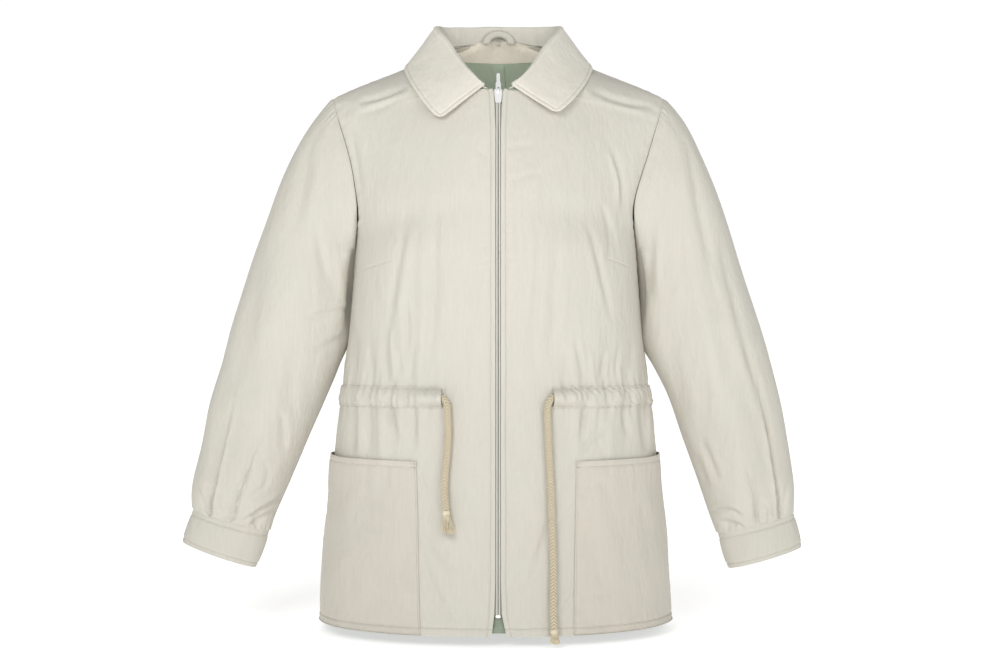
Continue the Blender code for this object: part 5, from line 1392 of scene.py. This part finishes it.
def casing(tree, cloth, thread):
    """The gathered strip round the waist, sewn down at both edges and open at its two front ends."""
    base = np.array([casing_line(CASING_TOP + (CASING_BOTTOM - CASING_TOP) * w) for w in CASING_SHARES])
    normals = outward(base, (0, 0, CASING_TOP))
    base = laid_on(tree, base, normals)
    along, back_along = both_ways(base, 1)
    from_end = np.minimum(along, back_along)
    w = np.array(CASING_SHARES)[:, None]
    middle = np.sin(math.pi * np.clip((w - 0.07) / 0.86, 0, 1)) ** 0.75
    flat = ease(140, 188, np.abs(base[..., 0]))
    swell = CASING_SWELL * (0.9 - 0.5 * flat) + MOUTH_SWELL * np.exp(-((from_end / MOUTH_REACH) ** 2))
    lift = CASING_WALL + 0.35 + middle * swell
    x, front = base[..., 0], base[..., 1] < -30
    gathers = np.zeros(base.shape[:2])
    for k, place in enumerate(CASING_PUCKERS):
        shift = 1.6 * math.sin(2.3 * k) * (w - 0.5)
        wide = 3.1 + 0.9 * math.sin(1.7 * k + 1)
        strong = 1.15 + 0.55 * math.sin(2.9 * k)
        gathers += np.where(front, strong * bump(x - place - shift, wide), 0)
    s = 0.0
    for k in range(90):
        s += 11.5 + 4.0 * math.sin(2.4 * k) + 2.0 * math.sin(5.1 * k + 1)
        shift = 1.8 * math.sin(2.3 * k) * (w - 0.5)
        strong = 1.1 + 0.5 * math.sin(3.3 * k)
        gathers += np.where(front & (np.abs(x) < 160), 0, strong * bump(along - s - shift, 3.4 + math.sin(k)))
    lift = lift + (gathers - 0.25) * ease(0, 14, from_end) * (0.45 + 0.75 * middle) * (1 - 0.45 * flat)
    lift += undulation(base, 4.4, 45, 0.4) * middle
    wide = CASING_TOP - CASING_BOTTOM
    for line, seed in ((CASING_STITCH, 0.6), (wide - CASING_STITCH, 3.7)):
        away = np.abs(w * wide - line)
        gathered = puckers(along, away, 9.0, 9.0, 1.15, seed, 0.25)
        lift += gathered * ease(0, 8, from_end) * (0.45 + 0.55 * ease(0, 2.5, away))
    grid = base + normals * lift[..., None]
    normals = outward(grid, (0, 0, CASING_TOP))
    obj = shell("casing_cloth", grid, normals, CASING_WALL, cloth, cloth)
    lines = [line_across(grid, normals, CASING_STITCH, 0, from_end) for from_end in (False, True)]
    sewn = stitches("casing_stitches", lines, thread)
    cloth_piece(obj, "waist_casing")


CREASES_POCKET = {
    "left": (
        (-162.2, -655.7, -91.1, -688.8, 3.1, -1.1, 9, 0.3), (-172, -541.8, -137.7, -559, 2.2, -1.3, 7, 0.5),
        (-164.6, -566.3, -142.6, -590.8, 0, -1.3, 8, 0.5),
        (-118.1, -625.1, -98.5, -674.1, 3.6, -1.2, 4, 0.5),
        (-187.9, -625.1, -174.4, -674.1, 0, -1.5, 9, 0.4),
    ),
    "right": (
        (98.7, -547.9, 128.1, -522.2, 3.1, -1.5, 5, 0.5), (151.4, -681.5, 190.6, -615.3, -2.7, -1.2, 9, 0.4),
        (102.4, -625.1, 131.8, -576.1, 4.2, -1.2, 8, 0.4), (95.1, -674.1, 131.8, -661.9, 4.7, -1.2, 5, 0.5),
        (173.5, -551.6, 183.3, -600.6, 0, -1.4, 8, 0.4),
    ),
}
POCKET_WALL = 1.2
POCKET_HEM_STITCH, POCKET_EDGE_STITCH = 7.0, 2.2


def pocket(side, word, tree, cloth, thread):
    """A patch pocket: sewn at its inner edge, the hem and the side seam, and open along the top."""
    top_x, hem_x = POCKET_INNER[word]
    mouth = float(np.interp(POCKET_TOP, ROW_HEIGHTS, np.arange(SKIRT_ROWS + 1)))
    places = mouth - spaced(mouth - 0.04, 0.075, 7.0 / 38.0)[::-1]
    places = np.unique(np.concatenate([places, [0.04, 0.1, 0.16, 0.22, 0.28, 0.34, 0.4]]))
    body = body_grid(True, side, places, np.linspace(0, 1, 201))
    share = np.concatenate([[0, 0.008, 0.016, 0.024], np.linspace(0.034, 0.965, 56), [0.98, 0.99, 1.0]])
    grid = []
    for place, line in zip(places, body):
        inner_x = np.interp(place, [0, mouth], [hem_x, top_x])
        start = float(np.interp(inner_x, np.abs(line[:, 0]), np.arange(len(line))))
        at = start + share * (len(line) - 1.6 - start)
        grid.append(read(at, np.arange(len(line)), line))
    grid = np.array(grid)
    up = ((places - places[0]) / (places[-1] - places[0]))[:, None]
    across = share[None, :]
    rise = ease(0.86, 1.0, up) * (4.5 * ease(0.55, 1.0, across) + 1.2 * np.sin(math.pi * across) - 1.0)
    grid[..., 2] += rise
    normals = outward(grid, (0, 0, POCKET_TOP))
    grid = laid_on(tree, grid, normals)
    along, from_side = both_ways(grid, 1)
    from_hem, to_mouth = both_ways(grid, 0)
    body_part = ease(0, 9, along) * ease(0, 9, from_side) * ease(0, 9, from_hem)
    full = 1.4 * np.sin(math.pi * up * 0.55) * np.sin(math.pi * across)
    gape = 3.4 * ease(0.72, 1.0, up) * np.exp(-(((across - 0.8) / 0.17) ** 2))
    gape = gape + 0.9 * ease(0.85, 1.0, up) * np.sin(math.pi * across) ** 0.6
    mouth_part = ease(0.6, 1, up) * ease(0, 12, along) * ease(0, 5, from_side)
    lift = 0.5 + POCKET_WALL + (full + gape) * np.maximum(body_part, mouth_part)
    gathers = np.zeros(grid.shape[:2])
    s = 14.0
    for k in range(22):
        s += 8.0 + 3.0 * math.sin(2.4 * k + side) + 1.5 * math.sin(5.3 * k)
        reach = 20 + 9 * math.sin(1.9 * k + side)
        lean = 0.10 * math.sin(2.7 * k + side)
        across_it = bump(along - s - lean * (to_mouth - 7), 2.4)
        gathers += 0.85 * (1 + 0.4 * math.sin(3.1 * k)) * across_it * bump(to_mouth - 9, reach)
    lift += (gathers - 0.1) * ease(5.5, 10, to_mouth) * body_part
    lift += creased(grid, normals, CREASES_POCKET[word], -1) * body_part
    loose = ease(0, 3, along) * ease(0, 3, from_side)
    lift += puckers(from_hem, np.abs(along - POCKET_EDGE_STITCH - 2), 13, 10, 0.45, 1.9 + side, 0.3) * loose
    lift += puckers(along, np.abs(from_hem - HEM_STITCH - 2), 11, 12, 0.4, 2.6 + side, 0.5) * loose
    lift += undulation(grid, 6.3 + side, 75, 1.0) * body_part
    lift += 0.35 * ease(POCKET_HEM_STITCH + 0.4, POCKET_HEM_STITCH - 0.4, to_mouth)
    lift -= 0.55 * bump(to_mouth - POCKET_HEM_STITCH, 1.2)
    lift -= 0.5 * bump(along - POCKET_EDGE_STITCH, 1.0)
    lift -= 0.7 * bump(from_side, 2.6)
    lift += groove(from_hem - (HEM_STITCH - 1.0), 0.5, 1.6)
    grid = grid + normals * lift[..., None]
    normals = outward(grid, (0, 0, POCKET_TOP))
    obj = shell("pocket_" + word + "_cloth", grid, normals, POCKET_WALL, cloth, cloth)
    lines = [
        line_across(grid, normals, POCKET_HEM_STITCH, 0, from_end=True),
        line_across(grid, normals, POCKET_EDGE_STITCH, 1),
        line_across(grid, normals, HEM_STITCH - 1.0, 0),
    ]
    tack = tack_lines(grid, normals, to_mouth, along)
    sewn = stitches("pocket_" + word + "_stitches", lines, thread)
    tacks = stitches("pocket_" + word + "_tack", tack, thread, 1.5)
    cloth_piece(obj, "pocket_" + word)


def tack_lines(grid, normals, to_mouth, along):
    """Two close rows of thread across the pocket's inner corner, and the short run that joins them."""
    lines = []
    for depth in (1.8, 2.6, 6.6, 7.4):
        row = int(np.argmin(np.abs(to_mouth[:, 0] - depth)))
        reach = along[row] <= 10.5
        lines.append((grid[row][reach], normals[row][reach]))
    return lines


# ----------------------------------------
# Inside the neck, and behind the slit

BEHIND_NECK = (0, 200, -20)
FACING_WALL, LINING_WALL = 1.0, 0.9


def inner_tree(grid, normals, split):
    """A search tree of a wall's inner face."""
    return surface_tree((grid - normals * SHELL_WALL, normals, split))


def inside_back(tree, x, z):
    """The back's inner face at a place in the front view."""
    hit = tree.ray_cast(Vector((x, -5.0, z)), Vector((0, 1, 0)))
    return np.array(hit[0] if hit[0] is not None else (x, 60.0, z))


def lining_shell(name, points, thickness, cloth, lift):
    """A thin wall lying just inside the back; its good side faces the neck."""
    normals = outward(points, BEHIND_NECK)
    grid = points + normals * (0.4 + thickness + lift[..., None])
    return shell(name, grid, outward(grid, BEHIND_NECK), thickness, cloth)


def neck_inside(back, facing_cloth, lining):
    """The facing below the neck seam, and the pleated lining under it."""
    tree = inner_tree(*back)
    rows = np.arange(SKIRT_ROWS + BACK_STEPS, BACK_TOP + NECK_STEP / 2, NECK_STEP)
    left, right = (body_grid(False, side, rows, np.array([0.0]))[:, 0] for side, _ in SIDES)
    neckline = np.concatenate([left[::-1], right[1:]])
    at = np.arange(len(neckline))
    top = smooth(at, neckline, np.linspace(0.2 / NECK_STEP, len(neckline) - 1 - 0.2 / NECK_STEP, 89))
    facing = np.array([
        [
            inside_back(tree, x * (1 - w) + edge_x * w, (z - 0.8) * (1 - w) + FACING_EDGE_Z * w)
            for (x, _, z), edge_x in zip(top, top[:, 0] * FACING_SPREAD)
        ]
        for w in np.linspace(0, 1, 17)
    ])
    lift = 0.9 + undulation(facing, 2.2, 60, 0.3)
    facing[0] += np.array([0, -1.1, 2.0])
    obj = lining_shell("back_neck_facing_cloth", facing, FACING_WALL, facing_cloth, lift)
    cloth_piece(obj, "back_neck_facing")
    across = np.linspace(-1, 1, 121)
    points = []
    for z in np.linspace(BACK_LINING_TOP + 3.5, BACK_LINING_BOTTOM, 46):
        wide = min(BACK_LINING_HALF, BACK_LINING_TOP_HALF + (BACK_LINING_TOP - z) * BACK_LINING_SLOPE)
        points.append([inside_back(tree, x * wide, z) for x in across])
    points = np.array(points)
    x, z = points[..., 0], points[..., 2]
    pleat = PLEAT_X - 2.5 + (BACK_LINING_TOP - z) * 0.10
    lift = 0.25 + 2.0 * ease(1.5, -0.2, x - pleat) * ease(-30, 0, x - pleat) * ease(14, 4, z)
    lift = lift + 1.6 * bump(x + 24 + (z + 12) * 1.1, 5.5) * ease(12, 0, z)
    lift = lift + undulation(points, 8.1, 40, 0.45)
    obj = lining_shell("back_lining_cloth", points, LINING_WALL, lining, lift)
    cloth_piece(obj, "back_lining")


def loop_point(a, w):
    """A place on the arch at an angle from its foot, and a share of the way from its outer edge in."""
    width = LOOP_OUTER_WIDTH * (1 - w) + LOOP_INNER_WIDTH * w
    height = (LOOP_OUTER_RISE * (1 - w) + LOOP_INNER_RISE * w) * math.sin(a)
    y = LOOP_Y - LOOP_LEAN * height / LOOP_OUTER_RISE - LOOP_TAPE / 2
    crown = 0.35 * math.sin(math.pi * w) + 0.12 * math.sin(9 * a)
    return width / 2 * math.cos(a), y - crown, LOOP_FOOT_Z + height


def hanger_loop(cloth, thread):
    """A folded strip in an arch, stitched along both edges."""
    grid = np.array([[loop_point(a, w) for w in np.linspace(0, 1, 11)] for a in np.linspace(0, math.pi, 61)])
    normals = outward(grid, (0, 300, 40))
    obj = shell("hanger_loop_cloth", grid, normals, LOOP_TAPE * 0.9, cloth)
    places = [(edge, from_end) for edge in (0.35, 1.5) for from_end in (False, True)]
    lines = [line_across(grid, normals, edge, 1, from_end) for edge, from_end in places]
    # the dark thread's rows along both edges are a painted shadow outline
    sewn = stitches("hanger_loop_stitches", lines, thread, 1.7)
    cloth_piece(obj, "hanger_loop")


def zip_guard(lining):
    """Lining cloth behind the slit, with one soft fold across it."""
    x = np.linspace(-GUARD_LEFT, GUARD_RIGHT, 31)
    z = np.linspace(GUARD_BOTTOM, GUARD_TOP, 41)
    line = skirt_rows(z, np.array([0.0]), True)[:, 0, 1]
    x, z = np.meshgrid(x, z)
    y = line[:, None] + GUARD_SETBACK + 1.2 * np.abs(x) / 20.0
    fold = 0.9 * bump(z + 700 - 0.25 * x, 2.6) - 0.6 * bump(z + 694 - 0.2 * x, 3.5)
    grid = np.stack([x, y - (fold + 0.5 * bump(x - 4, 2.5)), z], axis=-1)
    obj = shell("zip_guard_cloth", grid, outward(grid, (0, 0, -680)), LINING_WALL, lining)
    cloth_piece(obj, "zip_guard")


# ----------------------------------------
# Zip

COIL_PITCH = 1.5
COIL_SETBACK = 0.35
COIL_HALF_WIDTH, COIL_HALF_DEPTH, COIL_WAVE = 1.12, 0.95, 0.16
STOP_HALF_LENGTH, STOP_HALF_DEPTH, STOP_HALF_HEIGHT = 3.4, 1.35, 2.2


def zip_edge(side):
    """The front's centre edge from the stop up to the neckline."""
    top = SKIRT_ROWS + FRONT_STEPS - 0.13
    return body_grid(True, side, np.linspace(1.0, top, 90), np.linspace(0, 0.12, 13))


def zip_side(side, word, tape, coil):
    """Tape behind the edge, and the coil that fills half the slot."""
    grid = zip_edge(side)
    columns = np.linspace(2.0, TAPE_WIDTH, 7)
    depths = [np.interp(columns, np.abs(row[:, 0]), row[:, 1]) + TAPE_SETBACK + 0.1 for row in grid]
    points = np.array([
        [(side * x, y, row[0, 2]) for x, y in zip(columns, line)] for row, line in zip(grid, depths)
    ])
    obj = shell("zip_tape_" + word, points, outward(points, BODY_MIDDLE), TAPE_WALL, tape)
    middle = grid[:, 0].copy()
    middle[:, 0] = side * 1.5
    along = run(middle)
    count = int(along[-1] / COIL_PITCH)
    at = np.linspace(0, along[-1], count * 4 + 1)
    spine = read(at, along, middle)
    tangent = unit(np.gradient(spine, axis=0))
    across = np.array([side, 0, 0.0])
    forward = unit(np.cross(tangent, across)) * side
    forward = np.where(forward[:, 1:2] > 0, -forward, forward)
    ring = whole_turn(10)
    phase = 2 * math.pi * at / COIL_PITCH
    tube = []
    for k, centre in enumerate(spine):
        half_depth = COIL_HALF_DEPTH + COIL_WAVE * math.cos(phase[k])
        oval = centre + np.cos(ring)[:, None] * across * COIL_HALF_WIDTH
        oval = oval + np.sin(ring)[:, None] * forward[k] * half_depth
        tube.append(oval + np.array([0, COIL_SETBACK, 0]))
    chain = carried(closed_tube("zip_coil_" + word, np.array(tube), coil))
    cloth_piece(obj, "zip_" + word)


def tube_quads(rows, count):
    """Quads between rings of points that follow each other."""
    r, c = np.meshgrid(np.arange(rows - 1), np.arange(count), indexing="ij")
    r, c = r.ravel(), c.ravel()
    d = (c + 1) % count
    return np.stack([r * count + c, r * count + d, (r + 1) * count + d, (r + 1) * count + c], axis=1)


def closed_tube(name, rings, material, along=None):
    """A tube through rings of points, closed at both ends; along gives a braid the place of each ring."""
    rows, count = rings.shape[:2]
    points = rings.reshape(-1, 3)
    quads = tube_quads(rows, count)
    a, b, e = (points[quads[:, i]] for i in (0, 1, 3))
    middles = np.repeat(rings.mean(axis=1), count, axis=0)
    away = (np.cross(b - a, e - a) * (points - middles)[quads[:, 0]]).sum()
    faces = [tuple(q) for q in (quads if away > 0 else quads[:, ::-1]).tolist()]
    first, last = tuple(range(count)), tuple((rows - 1) * count + i for i in range(count))
    faces += [first[::-1], last] if away > 0 else [first, last[::-1]]
    obj = plain_mesh(name, points, faces, material, 70)
    if along is not None:
        grain = obj.data.uv_layers.new(name="grain").data
        for polygon in obj.data.polygons:
            corners = [obj.data.loops[i].vertex_index for i in polygon.loop_indices]
            wraps = len(corners) == 4 and {v % count for v in corners} == {0, count - 1}
            for i, v in zip(polygon.loop_indices, corners):
                u = 1.0 if wraps and v % count == 0 else v % count / count
                grain[i].uv = (u, along[v // count] * MM)
    return obj


def zip_stop(metal):
    """A small rounded staple across the two chains."""
    y = body_grid(True, 1, np.array([1.0]), np.array([0.0]))[0, 0, 1]
    ring = whole_turn(16)
    sections = []
    for x in np.linspace(-STOP_HALF_LENGTH, STOP_HALF_LENGTH, 15):
        edge = math.sqrt(max(1 - (abs(x) / STOP_HALF_LENGTH) ** 4, 0.04))
        depths = y + 0.6 - np.sin(ring) * STOP_HALF_DEPTH * edge
        heights = STOP - 1.7 + np.cos(ring) * STOP_HALF_HEIGHT * edge
        sections.append([(x, *place) for place in zip(depths, heights)])
    carried(closed_tube("zip_stop_metal", np.array(sections), metal), "zip_stop")


# ----------------------------------------
# Drawstring

CORD_RING_STEP, CORD_SIDES = 0.64, 40
STRANDS, STRAND_RINGS, STRAND_SIDES, STRAND_RADIUS = 96, 9, 4, 0.42
TUFT_ROOT_RADIUS, GOLDEN_ANGLE = 4.0, 2.399963


def cord_route(table):
    """The cord's middle line, as evenly spaced points."""
    places = [(p.x, depth_at(p.x, p.z) - CORD_DIAMETER / 2 - p.clearance, p.z) for p in table]
    fine = smooth(np.arange(len(places)), places, np.linspace(0, len(places) - 1, 400))
    return fine, run(fine)


def depth_at(x, z):
    """The front's outer y at a place on it, read from the solids' own points."""
    grid = coarse_body(True, -1 if x < 0 else 1)
    rows = SKIRT_ROWS + FRONT_STEPS + 1
    at = np.array([(np.interp(abs(x), np.abs(row[:, 0]), row[:, 1]), row[0, 2]) for row in grid[:rows]])
    return float(np.interp(z, at[:, 1], at[:, 0]))


def frames_along(line):
    """For each point of a line: the way across it, and the way out to the viewer."""
    tangent = unit(np.gradient(line, axis=0))
    across = unit(np.cross(tangent, np.array([0, 1.0, 0])))
    return across, np.cross(across, tangent)


def cord(table, word, yarn, tassel_yarn_painted_light):
    """One free end of the drawstring as a round braid."""
    fine, along = cord_route(table)
    count = int(along[-1] / CORD_RING_STEP)
    at = np.linspace(0, along[-1], count + 1)
    line = read(at, along, fine)
    across, out = frames_along(line)
    ring = whole_turn(CORD_SIDES)
    column = ring / (2 * math.pi) * BRAID_COLUMNS
    fold = np.abs((column + 0.5) % 1 - 0.5) * 2  # 0 in the middle of a column, 1 between columns
    flip = np.where(np.floor(column + 0.5) % 2 == 0, 1.0, -1.0)
    rings = []
    for s, p, a, o in zip(at, line, across, out):
        wave = np.cos(2 * math.pi * (s / BRAID_PITCH + BRAID_SLANT * fold * flip))
        wave = np.sign(wave) * np.abs(wave) ** 0.7
        radius = CORD_DIAMETER / 2 * (0.94 + 0.085 * wave - 0.07 * fold**4)
        rings.append(p + radius[:, None] * ringed(ring, o, a))
    tube = closed_tube("cord_" + word + "_braid", np.array(rings), yarn, at)
    ends = cord_end(word, fine, tassel_yarn_painted_light)
    carried(tube, "cord_" + word)


def cord_end(word, fine, yarn):
    """The whipping wound round the cord's end, and the combed-out strands below it."""
    axis = unit(fine[-1] - fine[-8])
    start = fine[-1] + axis * 0.3
    across = unit(np.cross(axis, (0, 1.0, 0)))
    forward = np.cross(axis, across)
    ring = whole_turn(28)
    turns = []
    for d in np.linspace(0, WHIPPING_LENGTH, 45):
        wave = 0.32 * abs(math.sin(math.pi * d / 1.05))
        pinch = 0.9 * (1 - math.sin(math.pi * min(max(d / WHIPPING_LENGTH, 0.04), 0.96)) ** 0.35)
        radius = WHIPPING_DIAMETER / 2 - 0.4 + wave - pinch
        turns.append(start + axis * d + radius * ringed(ring, forward, across))
    wound = closed_tube("cord_end_" + word + "_whipping", np.array(turns), yarn)
    tuft, splay = TUFT[word]
    root = start + axis * (WHIPPING_LENGTH - 1.2)
    points, faces = [], []
    for k in range(STRANDS):
        radius = TUFT_ROOT_RADIUS * math.sqrt((k + 0.5) / STRANDS)
        a = GOLDEN_ANGLE * k
        out = math.cos(a) * across + math.sin(a) * forward
        length = tuft * (0.87 + 0.13 * math.sin(2.4 * k + 0.6)) + 1.2
        curl = 0.8 * math.sin(3.7 * k)
        swing = 0.8 * math.cos(2.9 * k)
        side = np.cross(axis, out)
        faces += (len(points) + tube_quads(STRAND_RINGS, STRAND_SIDES)).tolist()
        first, last = len(points), len(points) + STRAND_SIDES * (STRAND_RINGS - 1)
        for share in np.linspace(0, 1, STRAND_RINGS):
            bow = splay * radius / 3.8 * share**1.4 * length * 0.55
            bend = out * curl * math.sin(math.pi * share) + side * swing * math.sin(1.6 * math.pi * share)
            centre = root + out * (radius * 0.92 + bow) + axis * length * share + bend
            thick = STRAND_RADIUS * (1.0 if share < 0.9 else 0.55)
            for b in range(STRAND_SIDES):
                turn = 2 * math.pi * b / STRAND_SIDES + 3.0 * share + k
                points.append(centre + thick * (math.cos(turn) * across + math.sin(turn) * forward))
        faces += [range(first, first + STRAND_SIDES)[::-1], range(last, last + STRAND_SIDES)]
    strands = plain_mesh("cord_end_" + word + "_strands", points, faces, yarn)
    return [carried(wound, "cord_end_" + word), carried(strands)]


# ----------------------------------------
# The scene

POPLIN = (0.585, 0.562, 0.492)
POPLIN_TONES = ((1.0, 1.0, 1.0), (1.04, 0.995, 0.975), (0.955, 0.985, 1.01))
# painted shade: the pockets' copy of the poplin is darker, as the light falls off lower down
POCKET_PAINTED_SHADE = (0.975, 0.955, 0.945)
# painted light: the facing's copy of the poplin is lighter, to lift the shade inside the neck
FACING_PAINTED_LIGHT = (1.45, 1.39, 1.32)
# painted light: the collar's copy of the poplin is lighter, on the collar and the hanger loop sewn of it
COLLAR_PAINTED_LIGHT = (1.25, 1.25, 1.25)
THREAD_PERIOD = 0.42  # of the poplin's weave


def poplin(name, shade=(1, 1, 1)):
    """The shell's cloth; a factor below 1 makes a copy with painted shade, and a factor above 1 a copy with
    painted light, for one of its parts.
    """
    tones = (tuple(POPLIN[i] * shade[i] * tone[i] for i in range(3)) for tone in POPLIN_TONES)
    return woven(name, *tones, THREAD_PERIOD, 0.72, 0.12)


def build():
    """The whole scene."""
    camera()
    studio()
    shell_cloth = poplin("poplin")
    # the pockets' poplin carries painted shade
    pocket_cloth = poplin("poplin_pocket_painted_shade", POCKET_PAINTED_SHADE)
    # the collar's poplin, also the hanger loop's, carries painted light
    collar_cloth = poplin("poplin_collar_painted_light", COLLAR_PAINTED_LIGHT)
    # the facing's poplin carries painted light
    facing_cloth = poplin("poplin_facing_painted_light", FACING_PAINTED_LIGHT)
    # painted light: the neck's lining is a lighter copy of the deep sage lining, to lift the shade inside the
    # neck
    sage_painted_light = (0.40, 0.47, 0.345), (0.42, 0.47, 0.345), (0.375, 0.47, 0.36)
    neck_lining_painted_light = woven("lining_neck_painted_light", *sage_painted_light, 0.3, 0.5, 0.1)
    deep_sage = (0.26, 0.30, 0.225), (0.275, 0.30, 0.225), (0.245, 0.30, 0.235)
    lining_cloth = woven("lining_twill", *deep_sage, 0.3, 0.5, 0.1)
    bleached = (0.50, 0.49, 0.43), (0.51, 0.49, 0.42), (0.48, 0.48, 0.43)
    tape_cloth = woven("zip_tape_cloth", *bleached, 0.6, 0.7, 0.05)
    # the thread is darker than the cloth: partly its own colour, partly painted shade of the grooves the rows
    # sit in
    thread = yarn_material("thread", (0.43, 0.40, 0.325), (0.34, 0.31, 0.25))
    # painted shadow: the loop's thread is nearly black, so that its rows draw the shadow round the loop's
    # edges
    loop_outline_shadow_thread = yarn_material("loop_outline_shadow_thread", (0.23, 0.20, 0.16), (0.18, 0.16, 0.12))
    coil = yarn_material("zip_coil", (0.60, 0.585, 0.53), (0.46, 0.45, 0.40))
    # the braid's light tone is its painted highlight and its dark tone its painted shade
    yarn = braid_material("cord_braid", (0.62, 0.56, 0.43), (0.40, 0.325, 0.20))
    # painted light: the whipping and tuft are lighter than the braid's cotton, to offset the shade among the
    # strands
    tassel_yarn_painted_light = yarn_material("tassel_cotton_painted_light", (0.76, 0.69, 0.53), (0.58, 0.50, 0.34))
    metal = metal_material("zip_silver", (0.97, 0.97, 0.96), 0.3)

    wall = (shell_cloth, lining_cloth, thread)
    surfaces = [front_panel(side, word, *wall) for side, word in SIDES]
    back = back_panel(*wall)
    surfaces.append(back)
    body_tree = surface_tree(*surfaces)
    surfaces += [sleeve(side, word, *wall) for side, word in SIDES]
    collar(surfaces, collar_cloth, thread)
    casing(body_tree, shell_cloth, thread)
    for side, word in SIDES:
        pocket(side, word, body_tree, pocket_cloth, thread)
        zip_side(side, word, tape_cloth, coil)
    neck_inside(back, facing_cloth, neck_lining_painted_light)
    hanger_loop(collar_cloth, loop_outline_shadow_thread)
    zip_guard(lining_cloth)
    zip_stop(metal)
    cord(CORD_LEFT, "left", yarn, tassel_yarn_painted_light)
    cord(CORD_RIGHT, "right", yarn, tassel_yarn_painted_light)
    for name in ("zip_slider", "zip_pull"):
        for slot in bpy.data.objects[name].material_slots:
            slot.material = metal
    for name in ("back_neck_facing_cloth", "back_lining_cloth"):
        bpy.data.collections["neck_inside"].objects.link(bpy.data.objects[name])
    bpy.data.collections["neck_blockers"].objects.link(bpy.data.objects["back_neck_facing_cloth"])


build()
